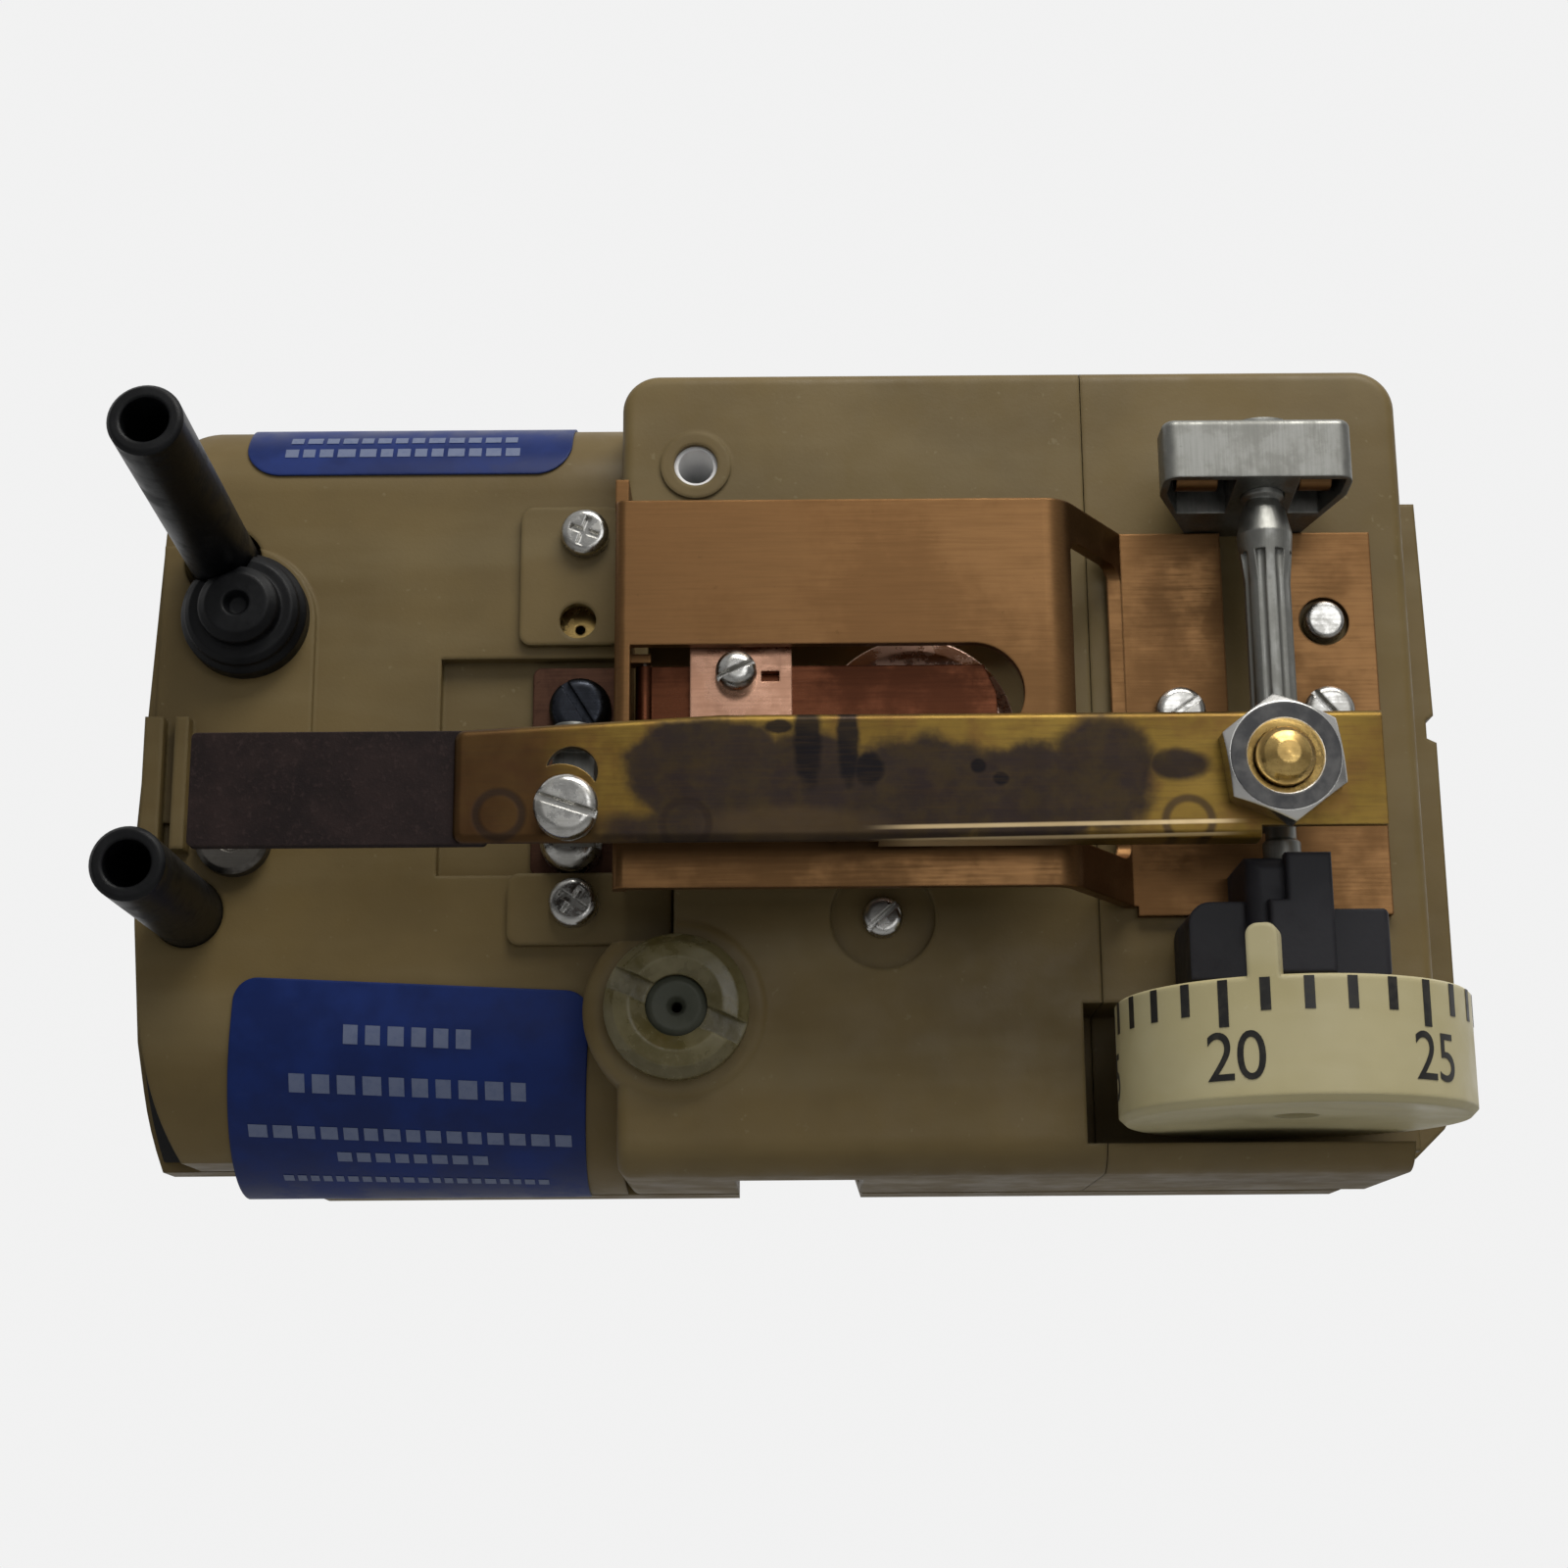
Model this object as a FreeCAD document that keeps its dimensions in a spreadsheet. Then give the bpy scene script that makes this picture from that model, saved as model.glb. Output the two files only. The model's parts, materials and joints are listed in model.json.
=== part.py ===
import FreeCAD, Part
import math
import os
import re

import Sketcher

# Pneumatic room thermostat with its cover off, in millimetres. X runs along the case, Z is up, and the wall is the
# plane Y = 0. The case stands out of the wall towards -Y, so a "depth" below is a distance from the wall, -Y.
DIMENSIONS = {
    # case
    "left_end": -41.45, "right_end": 41.0, "foot_edge": -24.05, "foot_step": -22.5, "base_top": 20.2,
    "base_thick": 3.0, "gasket_thick": 0.6, "body_back": 3.6, "end_inset": 2.5,
    "left_front": 13.0, "left_top": 23.4, "left_lip": -10.2, "chin_round": 9.2, "brow_round": 5.5,
    "block_front": 17.0, "block_top": 23.7, "block_left": -10.1, "seam": 17.3, "block_right": 36.2,
    "pad_rise": 0.5, "pad_right": -28.7, "rib_rise": 1.6, "notch_half": 3.5, "notch_depth": 12.5,
    "well_left": -21.1, "well_top": 7.1, "well_floor": 12.0, "well_bottom": -6.2,
    "recess_left": -8.5, "recess_right": 14.5, "recess_low": -2.0, "recess_high": 8.0, "recess_floor": 14.8,
    # wall fixing and case screws
    "fixing_across": -5.7, "fixing_up": 17.8, "fixing_bore": 1.05, "bush_wall": 0.25,
    "case_shank": 0.9, "case_head": 1.8, "case_sink": 1.5, "case_reach": 9.0,
    "clamp_across": 5.0, "clamp_up": -9.6,
    # air tubes and ports
    "tube_radius": 2.05, "tube_bore": 1.3, "tube_seat": 11.0,
    "upper_tube_across": -34.4, "upper_tube_up": 13.2, "upper_tube_long": 22.0, "upper_tube_lean": 3.4,
    "lower_tube_across": -35.6, "lower_tube_up": -8.3, "lower_tube_long": 16.0,
    "knob_across": -32.77, "knob_up": 9.55, "knob_radius": 3.75, "knob_disc": 2.35, "knob_high": 3.3,
    "plug_across": -33.0, "plug_up": -4.0, "plug_radius": 2.2,
    "test_across": -6.7, "test_up": -14.8, "test_radius": 4.1, "test_hub": 1.75, "test_boss": 5.4,
    # restrictor and filter in the left body
    "restrictor_across": -12.9, "restrictor_up": 9.3, "restrictor_screw_up": 14.7, "filter_up": -8.05,
    # bronze bridge over the feedback leaf
    "sheet": 0.6, "leg_thick": 0.75, "bridge_front": 23.8, "bridge_left": -10.0, "bridge_right": 15.2,
    "bridge_bottom": -9.2, "bridge_top": 13.1, "leg_foot": 19.3, "foot_right": 33.95, "foot_low": -9.75,
    "slot_low": -1.1, "slot_high": 4.6, "slot_left": -9.1, "slot_right": 12.8, "pin_across": 31.0, "pin_up": 7.65,
    # set-point shaft and dial
    "shaft_across": 26.9, "shaft_depth": 22.0, "shaft_radius": 1.3, "journal": 1.2, "running_gap": 0.05,
    "shaft_core": 0.85, "shaft_top": 18.1, "dial_radius": 9.5, "dial_top": -15.4, "dial_bottom": -21.9,
    "dial_dish": 0.3, "dial_web": 1.6, "tab_angle": -19.2, "tab_wide": 1.65, "tab_high": 2.7, "tab_thick": 1.3,
    "pocket_left": 16.2, "pocket_top": -14.6, "pocket_floor": 11.2,
    "cam_mean": 1.7, "cam_rise": 0.3825, "cam_low": -5.6, "cam_high": -1.1,
    # lever strip, bimetal and calibration screw
    "strip_back": 26.03, "strip_thick": 0.5, "strip_top": -0.15, "strip_fall": 0.8, "strip_bottom": -7.2,
    "strip_left": -18.4, "strip_right": 31.8, "lip_left": 4.5, "lip_right": 25.0, "lip_deep": 1.3,
    "waist_bottom": -6.55, "bimetal_left": -32.7, "bimetal_lap": -16.6, "bimetal_thick": 0.8, "bimetal_top": -0.9,
    "screw_across": 26.15, "screw_up": -3.15, "screw_radius": 1.6, "nut_flats": 6.15, "nut_thick": 1.7,
    # fulcrum
    "pivot_across": -12.1, "pivot_up": -5.8, "fulcrum_level": 25.0, "fulcrum_round": 1.0,
    "hinge_across": -12.7, "hinge_up": 3.85, "hinge_low_across": -13.1, "hinge_low_up": -4.3,
    # feedback leaf, bellows and sensitivity clip
    "leaf_back": 21.5, "leaf_thick": 0.5, "leaf_left": -8.4, "leaf_right": 11.5, "leaf_top": 3.85,
    "leaf_bottom": -2.6, "leaf_eye": 0.5, "leaf_pin": 0.2,
    "bellows_across": 6.9, "bellows_up": 0.3, "bellows_radius": 5.7, "bellows_long": 5.4,
    "clip_left": -5.8, "clip_right": -0.1, "clamp_screw_across": -3.2, "clamp_screw_up": 3.1,
    "nozzle_across": -1.5, "nozzle_up": -4.9,
    # relay behind the block
    "relay_across": 4.0, "relay_up": 3.0, "relay_radius": 9.0, "relay_roof": 12.5,
}

doc = FreeCAD.newDocument("wall_thermostat")
sheet = doc.addObject("Spreadsheet::Sheet", "dims")
finished = []


def fill_sheet():
    for row, (alias, number) in enumerate(DIMENSIONS.items(), start=1):
        sheet.set(f"A{row}", alias)
        sheet.set(f"B{row}", str(number))
        sheet.setAlias(f"B{row}", alias)
    doc.recompute()


# ---- expressions: sizes are written with the sheet's own words ----


def linked(text):
    return re.sub(r"[a-z_]+", lambda word: f"dims.{word[0]}" if word[0] in DIMENSIONS else word[0], str(text))


def value(text):
    return float(sheet.evalExpression(linked(text)))


def bind(item, place, text):
    item.setExpression(place, linked(text))


# ---- solids from Part primitives ----


def box(name, across, depth, up):
    item = doc.addObject("Part::Box", name)
    bind(item, "Length", f"({across[1]}) - ({across[0]})")
    bind(item, "Width", f"({depth[1]}) - ({depth[0]})")
    bind(item, "Height", f"({up[1]}) - ({up[0]})")
    bind(item, "Placement.Base.x", across[0])
    bind(item, "Placement.Base.y", f"-({depth[1]})")
    bind(item, "Placement.Base.z", up[0])
    return item


def rod(name, across, up, depth, radius):
    """Round bar standing out of the wall."""
    item = doc.addObject("Part::Cylinder", name)
    item.Placement = FreeCAD.Placement(FreeCAD.Vector(), FreeCAD.Rotation(FreeCAD.Vector(1, 0, 0), 90))
    bind(item, "Radius", radius)
    bind(item, "Height", f"({depth[1]}) - ({depth[0]})")
    bind(item, "Placement.Base.x", across)
    bind(item, "Placement.Base.y", f"-({depth[0]})")
    bind(item, "Placement.Base.z", up)
    return item


def post(name, across, depth, up, radius):
    """Round bar along Z."""
    item = doc.addObject("Part::Cylinder", name)
    bind(item, "Radius", radius)
    bind(item, "Height", f"({up[1]}) - ({up[0]})")
    bind(item, "Placement.Base.x", across)
    bind(item, "Placement.Base.y", f"-({depth})")
    bind(item, "Placement.Base.z", up[0])
    return item


def joined(name, items):
    item = doc.addObject("Part::MultiFuse", name)
    item.Shapes = items
    item.Refine = True
    return item


def cut(name, base, tools):
    item = doc.addObject("Part::Cut", name)
    item.Base = base
    item.Tool = tools[0] if len(tools) == 1 else joined(name + "_tools", tools)
    item.Refine = True
    return item


def common(name, base, tool):
    item = doc.addObject("Part::Common", name)
    item.Base = base
    item.Tool = tool
    return item


def group(name, items):
    item = doc.addObject("Part::Compound", name)
    item.Links = items
    return item


def middle(edge):
    return edge.CenterOfMass


def straight(edge, axis):
    """True for a straight edge along the unit vector axis."""
    if edge.Curve.TypeId != "Part::GeomLine":
        return False
    return abs(abs(edge.tangentAt(edge.FirstParameter).dot(axis)) - 1) < 1e-6


X_AXIS = FreeCAD.Vector(1, 0, 0)
Y_AXIS = FreeCAD.Vector(0, 1, 0)
Z_AXIS = FreeCAD.Vector(0, 0, 1)


def rounded(name, base, radius, picked):
    """Part fillet on the base's edges for which picked(edge) is true."""
    doc.recompute()
    item = doc.addObject("Part::Fillet", name)
    item.Base = base
    size = value(radius)
    item.Edges = [(i, size, size) for i, edge in enumerate(base.Shape.Edges, start=1) if picked(edge)]
    return item


def near(number, text, slack=0.02):
    return abs(number - value(text)) < slack


# ---- PartDesign bodies ----


def new_body(name):
    return doc.addObject("PartDesign::Body", name)


def new_sketch(body, role, offset="0"):
    sketch = body.newObject("Sketcher::SketchObject", body.Name + "_sketch")
    plane = next(item for item in body.Origin.OriginFeatures if item.Role == role)
    sketch.AttachmentSupport = (plane, [""])
    sketch.MapMode = "FlatFace"
    bind(sketch, "AttachmentOffset.Base.z", offset)
    return sketch


def tie(sketch, kind, curve, spot, text):
    index = sketch.addConstraint(Sketcher.Constraint(kind, -1, 1, curve, spot, value(text)))
    bind(sketch, f"Constraints[{index}]", text)


def outline(sketch, corners):
    """Closed straight-sided loop with both coordinates of every corner tied to the sheet."""
    spots = [FreeCAD.Vector(value(a), value(b), 0) for a, b in corners]
    count = len(spots)
    first = sketch.GeometryCount
    sketch.addGeometry([Part.LineSegment(spots[i], spots[(i + 1) % count]) for i in range(count)], False)
    for i, (a, b) in enumerate(corners):
        sketch.addConstraint(Sketcher.Constraint("Coincident", first + (i - 1) % count, 2, first + i, 1))
        tie(sketch, "DistanceX", first + i, 1, a)
        tie(sketch, "DistanceY", first + i, 1, b)


def pad(body, sketch, length):
    item = body.newObject("PartDesign::Pad", body.Name + "_pad")
    item.Profile = sketch
    bind(item, "Length", length)
    return item


def revolve(body, sketch):
    item = body.newObject("PartDesign::Revolution", body.Name + "_turned")
    item.Profile = sketch
    item.ReferenceAxis = (sketch, ["V_Axis"])
    item.Angle = 360
    return item


def fillet(body, feature, radius, picked):
    doc.recompute()
    item = body.newObject("PartDesign::Fillet", body.Name + "_edges")
    names = [f"Edge{i}" for i, edge in enumerate(feature.Shape.Edges, start=1) if picked(edge)]
    item.Base = (feature, names)
    bind(item, "Radius", radius)
    return item


def turned(name, profile, across="0", up="0", depth="0"):
    """Body turned about an axis that stands out of the wall. The profile's corners are (radius, depth)."""
    body = new_body(name)
    sketch = new_sketch(body, "XY_Plane")
    outline(sketch, [(radius, f"-({level})") for radius, level in profile])
    revolve(body, sketch)
    bind(body, "Placement.Base.x", across)
    bind(body, "Placement.Base.y", f"-({depth})")
    bind(body, "Placement.Base.z", up)
    return body


def done(item, label):
    item.Label = label
    finished.append(item)
    return item


def screw(name, across, up, seat, head, high, shank, reach, turn=0, cross=False):
    """Slotted or cross-slotted screw with a rounded head whose underside lies at the depth seat."""
    top = f"{seat} + {high}"
    head_bar = rod(name + "_head", across, up, (seat, top), head)
    crown = rounded(name + "_crown", head_bar, f"{high} * 0.45",
                    lambda edge: near(middle(edge).y, f"-({top})") and edge.Closed)
    shank_bar = rod(name + "_shank", across, up, (f"{seat} - {reach}", seat), shank)
    blank = joined(name + "_blank", [crown, shank_bar])
    slots = []
    for quarter in ((0, 90) if cross else (0,)):
        slot = doc.addObject("Part::Box", name + "_slot")
        half = f"{head} * {0.62 if cross else 1.2}"
        bind(slot, "Length", f"2 * {half}")
        bind(slot, "Width", f"{high} * 0.5")
        bind(slot, "Height", f"{head} * 0.26")
        spin = FreeCAD.Rotation(Y_AXIS, turn + quarter)
        offset = spin.multVec(FreeCAD.Vector(-value(half), 0, -value(f"{head} * 0.13")))
        slot.Placement = FreeCAD.Placement(offset, spin)
        bind(slot, "Placement.Base.x", f"({across}) + ({offset.x:.4f})")
        bind(slot, "Placement.Base.y", f"-({top}) - 0.01")
        bind(slot, "Placement.Base.z", f"({up}) + ({offset.z:.4f})")
        slots.append(slot)
    return cut(name, blank, slots)


def coil(name, across, up, depth, radius, wire, turns):
    """Closed-path round-wire spring about an axis that stands out of the wall."""
    long = value(depth[1]) - value(depth[0])
    helix = Part.makeHelix(long / turns, long, value(radius))
    start = FreeCAD.Vector(value(radius), 0, 0)
    ring = Part.Wire(Part.makeCircle(value(wire), start, FreeCAD.Vector(0, 1, 0)))
    solid = Part.Wire(helix.Edges).makePipeShell([ring], True, True)
    item = doc.addObject("Part::Feature", name)
    item.Shape = solid
    spot = FreeCAD.Vector(value(across), -value(depth[0]), value(up))
    item.Placement = FreeCAD.Placement(spot, FreeCAD.Rotation(X_AXIS, 90))
    return item


# ---- case ----

CASE_SCREWS = [("-26", "17"), ("-26", "-14"), ("13", "19"), ("31", "-12")]


def end_limit(name, inset, top, corner):
    """Slab with the case's bent left end, drawn in by inset: only what lies inside it is kept."""
    body = new_body(name)
    sketch = new_sketch(body, "XZ_Plane", "-1")
    end = f"left_end + {inset}"
    outline(sketch, [
        (f"{end} + 1.3", top), (end, "-5.5"), (f"{end} + 0.75", "-14.5"), (f"{end} + 1.75", "-20"),
        (f"{end} + 4.15", "-26"), ("60", "-26"), ("60", top),
    ])
    slab = pad(body, sketch, "31")
    bends = fillet(body, slab, "25", lambda edge: straight(edge, Y_AXIS) and middle(edge).x < -30
                   and -21 < middle(edge).z < 0)
    fillet(body, bends, corner, lambda edge: straight(edge, Y_AXIS) and middle(edge).x < -30
           and near(middle(edge).z, top))
    return body


def foot_outline():
    return [
        ("left_end - 1", "foot_step"), ("-33", "foot_step"), ("-29", "foot_edge"), ("-notch_half", "foot_edge"),
        ("-notch_half", "foot_step"), ("notch_half", "foot_step"), ("notch_half + 0.5", "foot_edge"),
        ("33.1", "foot_edge"), ("35.8", "foot_step - 0.3"), ("37.9", "foot_step + 0.3"),
        ("39.8", "foot_step + 2.1"), ("right_end - 0.3", "foot_step + 3.8"), ("right_end", "foot_step + 5.5"),
        ("right_end", "4.1"), ("right_end - 0.6", "4.4"), ("right_end - 0.6", "5.6"), ("right_end - 0.1", "5.9"),
        ("right_end - 0.4", "base_top"), ("left_end - 1", "base_top"),
    ]


def case_holes(name, depth):
    return [rod(f"{name}_hole{i}", x, z, depth, "case_shank") for i, (x, z) in enumerate(CASE_SCREWS)]


def fixing_hole(name, depth, radius="fixing_bore"):
    return rod(name + "_fixing", "fixing_across", "fixing_up", depth, radius)


def base_plate():
    body = new_body("base_blank")
    sketch = new_sketch(body, "XZ_Plane")
    outline(sketch, foot_outline())
    pad(body, sketch, "base_thick")
    solid = common("base_bent", body, end_limit("base_limit", "0", "base_top", "1"))
    sinks = [rod(f"base_sink{i}", x, z, ("-1", "case_sink"), "case_head + 0.15")
             for i, (x, z) in enumerate(CASE_SCREWS)]
    through = ("-1", "base_thick + 1")
    done(cut("base_plate", solid, case_holes("base", through) + sinks + [fixing_hole("base", through)]), "base_plate")


def channel_gasket():
    body = new_body("gasket_blank")
    sketch = new_sketch(body, "XZ_Plane", "base_thick")
    outline(sketch, [("left_end - 1", "-21.9"), ("block_right - 0.4", "-21.9"), ("block_right - 0.4", "19.7"),
                     ("left_end - 1", "19.7")])
    pad(body, sketch, "gasket_thick")
    bent = common("gasket_bent", body, end_limit("gasket_limit", "0.4", "19.7", "1"))
    through = ("base_thick - 1", "body_back + 1")
    holes = case_holes("gasket", through) + [fixing_hole("gasket", through)]
    holes.append(rod("gasket_relay", "relay_across", "relay_up", through, "2.5"))
    done(cut("channel_gasket", bent, holes), "channel_gasket")


def left_body():
    front = "left_front"
    slab = box("left_slab", ("left_end - 1", "left_lip"), ("body_back", front), ("foot_edge", "left_top"))
    chin = rounded("left_chin", slab, "chin_round", lambda edge: straight(edge, X_AXIS)
                   and near(middle(edge).y, "-left_front") and near(middle(edge).z, "foot_edge"))
    brow = rounded("left_brow", chin, "brow_round", lambda edge: straight(edge, X_AXIS)
                   and near(middle(edge).y, "-left_front") and near(middle(edge).z, "left_top"))
    knob_pad = box("left_pad", ("left_end + end_inset + 1", "pad_right"), (front, f"{front} + pad_rise"),
                   ("-3", "14.2"))
    knob_pad = rounded("left_pad_round", knob_pad, "4.8", lambda edge: straight(edge, Y_AXIS)
                       and near(middle(edge).x, "pad_right") and middle(edge).z > 10)
    ribs = [box(f"left_rib{i}", across, (front, f"{front} + rib_rise"), ("-4.8", "3.2"))
            for i, across in enumerate((("-38.3", "-37.2"), ("-36.5", "-35.7")))]
    solid = joined("left_solid", [brow, knob_pad] + ribs)
    solid = common("left_bent", solid, end_limit("left_limit", "end_inset", "left_top", "4"))
    through = ("body_back - 1", "20")
    hinge_side = ("well_left", "left_lip + 1")
    tools = [
        box("left_step", ("left_end - 2", "-33"), through, ("foot_edge - 1", "foot_step")),
        box("left_well", hinge_side, ("well_floor", "14"), ("well_bottom", "well_top")),
        rod("left_upper_seat", "upper_tube_across", "upper_tube_up", ("tube_seat - 0.15", "20"),
            "tube_radius + 0.3"),
        rod("left_lower_seat", "lower_tube_across", "lower_tube_up", ("tube_seat", "20"), "tube_radius + 0.05"),
        rod("left_plug_seat", "plug_across", "plug_up", ("left_front", "20"), "plug_radius + 0.1"),
        rod("left_upper_way", "upper_tube_across", "upper_tube_up", through, "0.8"),
        rod("left_lower_way", "lower_tube_across", "lower_tube_up", through, "0.8"),
        rod("left_restrictor_seat", "restrictor_across", "restrictor_up", ("8", "14"), "1.5"),
        rod("left_filter_seat", "-13", "filter_up", ("9.5", "14"), "1.9"),
        rod("left_cover_screw_a", "-12.5", "restrictor_screw_up", ("9", "14"), "0.75"),
        rod("left_cover_screw_b", "-12.9", "filter_up", ("9", "14"), "0.75"),
        rod("left_hinge_screw", "hinge_across", "hinge_up", ("8", "14"), "0.9"),
        rod("left_hinge_screw_lower", "hinge_low_across", "hinge_low_up", ("8", "14"), "0.9"),
    ]
    for i, (x, z) in enumerate(CASE_SCREWS[:2]):
        tools.append(rod(f"left_case_hole{i}", x, z, ("body_back - 1", "case_reach"), "case_shank"))
    done(cut("left_body", solid, tools), "left_body")


def moulded_block(name, across, rounds):
    """Front-rounded block between two X positions, standing from the gasket to the block's front face."""
    slab = box(name + "_slab", across, ("body_back", "block_front"), ("foot_edge", "block_top"))
    corner_x, corner_radius = rounds
    slab = rounded(name + "_corner", slab, corner_radius, lambda edge: straight(edge, Y_AXIS)
                   and near(middle(edge).x, corner_x) and near(middle(edge).z, "block_top"))
    slab = rounded(name + "_chin", slab, "2", lambda edge: straight(edge, X_AXIS)
                   and near(middle(edge).y, "-block_front") and near(middle(edge).z, "foot_edge"))
    return rounded(name + "_brow", slab, "0.7", lambda edge: near(middle(edge).y, "-block_front", 0.3)
                   and middle(edge).z > 20)


def dial_pocket(name):
    return box(name + "_pocket", ("pocket_left", "40"), ("pocket_floor", "20"), ("foot_step", "pocket_top"))


def relay_block():
    solid = moulded_block("relay", ("block_left", "seam"), ("block_left", "2.2"))
    boss = rod("relay_boss", "test_across", "test_up", ("left_front + 0.2", "block_front + 0.2"), "test_boss")
    boss = rounded("relay_boss_round", boss, "0.8", lambda edge: near(middle(edge).y, "-block_front - 0.2")
                   and edge.Closed)
    ring = rod("relay_ring", "fixing_across", "fixing_up", ("16", "block_front + 0.15"), "2.1")
    solid = joined("relay_solid", [solid, boss, ring])
    tools = [
        box("relay_notch", ("block_left - 1", "-6.9"), ("left_front", "20"), ("-10.9", "-4.9")),
        box("relay_foot_notch", ("-notch_half", "notch_half + 0.3"), ("0", "notch_depth"),
            ("foot_edge - 1", "foot_step")),
        dial_pocket("relay"),
        fixing_hole("relay", ("0", "20"), "fixing_bore + bush_wall"),
        rod("relay_cavity", "relay_across", "relay_up", ("0", "relay_roof"), "relay_radius"),
        rod("relay_rim", "relay_across", "relay_up", ("0", "body_back + 0.5"), "relay_radius + 1.5"),
        rod("relay_seat_bore", "relay_across", "relay_up", ("relay_roof - 1", "14"), "2.4"),
        rod("relay_seat_way", "relay_across", "relay_up", ("13", "16"), "0.8"),
        box("relay_recess", ("recess_left", "recess_right"), ("recess_floor", "20"), ("recess_low", "recess_high")),
        rod("relay_bellows_well", "bellows_across", "bellows_up", ("recess_floor", "20"), "bellows_radius + 0.4"),
        rod("relay_nozzle_bore", "nozzle_across", "nozzle_up", ("14", "20"), "1.2"),
        rod("relay_clamp_sink", "clamp_across", "clamp_up", ("block_front - 0.5", "20"), "3"),
        rod("relay_clamp_bore", "clamp_across", "clamp_up", ("5", "20"), "0.8"),
        rod("relay_test_bore", "test_across", "test_up", ("14", "20"), "test_radius - 0.47"),
        rod("relay_test_way", "test_across", "test_up", ("9", "15"), "0.8"),
        rod("relay_case_hole", CASE_SCREWS[2][0], CASE_SCREWS[2][1], ("0", "case_reach"), "case_shank"),
    ]
    done(cut("relay_block", solid, tools), "relay_block")


def end_block():
    solid = moulded_block("end", ("seam + 0.05", "block_right"), ("block_right", "2.4"))
    tools = [
        dial_pocket("end"),
        box("end_foot_step", ("34.5", "40"), ("0", "20"), ("foot_edge - 1", "foot_step")),
        rod("end_case_hole", CASE_SCREWS[3][0], CASE_SCREWS[3][1], ("0", "case_reach"), "case_shank"),
    ]
    for i, (x, z) in enumerate(BRIDGE_SCREWS):
        tools.append(rod(f"end_bridge_hole{i}", x, z, ("12", "20"), "0.75"))
    tools.append(rod("end_pin_hole", "pin_across", "pin_up", ("13", "20"), "1.15"))
    done(cut("end_block", solid, tools), "end_block")


def case_screws():
    """Four pan-head screws that hold the case together, driven in from the wall side."""
    items = []
    for i, (x, z) in enumerate(CASE_SCREWS):
        head = rod(f"case_screw_head{i}", x, z, ("0.25", "case_sink"), "case_head")
        head = rounded(f"case_screw_crown{i}", head, "0.45", lambda edge: near(middle(edge).y, "-0.25")
                       and edge.Closed)
        shank = rod(f"case_screw_shank{i}", x, z, ("case_sink", "case_reach"), "case_shank")
        slot = box(f"case_screw_slot{i}", (f"{x} - 2", f"{x} + 2"), ("0", "0.8"), (f"{z} - 0.25", f"{z} + 0.25"))
        items.append(cut(f"case_screw{i}", joined(f"case_screw_blank{i}", [head, shank]), [slot]))
    done(group("case_screws", items), "case_screws")


def mount_bush():
    sleeve = rod("bush_sleeve", "fixing_across", "fixing_up", ("body_back", "block_front - 0.2"),
                 "fixing_bore + bush_wall")
    done(cut("mount_bush", sleeve, [fixing_hole("bush", ("0", "20"))]), "mount_bush")


def wrapped_label(name, across, up, lean, corner, thick="0.15"):
    """Printed foil that follows the left body's rounded front, cut to a round-cornered rectangle."""
    skins = []
    for layer, grow in (("outer", thick), ("inner", "0")):
        slab = box(f"{name}_{layer}", (f"{across[0]} - 1", f"{across[1]} + 1"),
                   ("body_back", f"left_front + {grow}"), (f"foot_edge - {grow}", f"left_top + {grow}"))
        slab = rounded(f"{name}_{layer}_chin", slab, f"chin_round + {grow}", lambda edge: straight(edge, X_AXIS)
                       and middle(edge).y < -12 and middle(edge).z < 0)
        slab = rounded(f"{name}_{layer}_brow", slab, f"brow_round + {grow}", lambda edge: straight(edge, X_AXIS)
                       and middle(edge).y < -12 and middle(edge).z > 0)
        skins.append(slab)
    skin = cut(name + "_skin", skins[0], [skins[1]])
    blank = doc.addObject("Part::Box", name + "_blank")
    bind(blank, "Length", f"({across[1]}) - ({across[0]})")
    bind(blank, "Width", "30")
    bind(blank, "Height", f"({up[1]}) - ({up[0]})")
    spin = FreeCAD.Rotation(Y_AXIS, lean)
    blank.Placement = FreeCAD.Placement(FreeCAD.Vector(), spin)
    bind(blank, "Placement.Base.x", across[0])
    bind(blank, "Placement.Base.y", "-30")
    bind(blank, "Placement.Base.z", up[0])
    blank = rounded(name + "_corners", blank, corner, lambda edge: straight(edge, Y_AXIS))
    done(common(name, skin, blank), name)


def labels():
    wrapped_label("front_label", ("-33.3", "-12.55"), ("-26.1", "-12.1"), 2.8, "1.4")
    wrapped_label("top_label", ("-33.5", "-13.5"), ("18.9", "27"), 0.0, "2.2")


# ---- air connections ----


def tube(name, across, up, long, lean):
    shell = turned(name, [("tube_bore", "0"), ("tube_radius - 0.15", "0"), ("tube_radius", "0.15"),
                          ("tube_radius", f"{long} - 0.2"), ("tube_radius - 0.2", long), ("tube_bore + 0.1", long),
                          ("tube_bore", f"{long} - 0.1")], across, up, "tube_seat")
    shell.Placement = FreeCAD.Placement(shell.Placement.Base, FreeCAD.Rotation(X_AXIS, -lean))
    return done(shell, name)


def upper_connector():
    knob = turned("connector_knob", [
        ("0", "0"), ("knob_radius", "0"), ("knob_radius", "1.1"), ("knob_radius - 0.35", "1.45"),
        ("knob_radius - 0.35", "1.8"), ("knob_radius - 0.7", "2.1"), ("knob_disc + 0.1", "2.1"),
        ("knob_disc", "2.3"), ("knob_disc", "knob_high - 0.4"), ("knob_disc - 0.5", "knob_high"),
        ("0.8", "knob_high"), ("0.5", "knob_high - 0.7"), ("0", "knob_high - 0.7"),
    ], "knob_across", "knob_up", "left_front + pad_rise")
    tube_room = rod("connector_room", "upper_tube_across", "upper_tube_up + 0.25", ("left_front", "left_front + 6"),
                    "tube_radius + 0.25")
    done(cut("upper_connector", knob, [tube_room]), "upper_connector")


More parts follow.
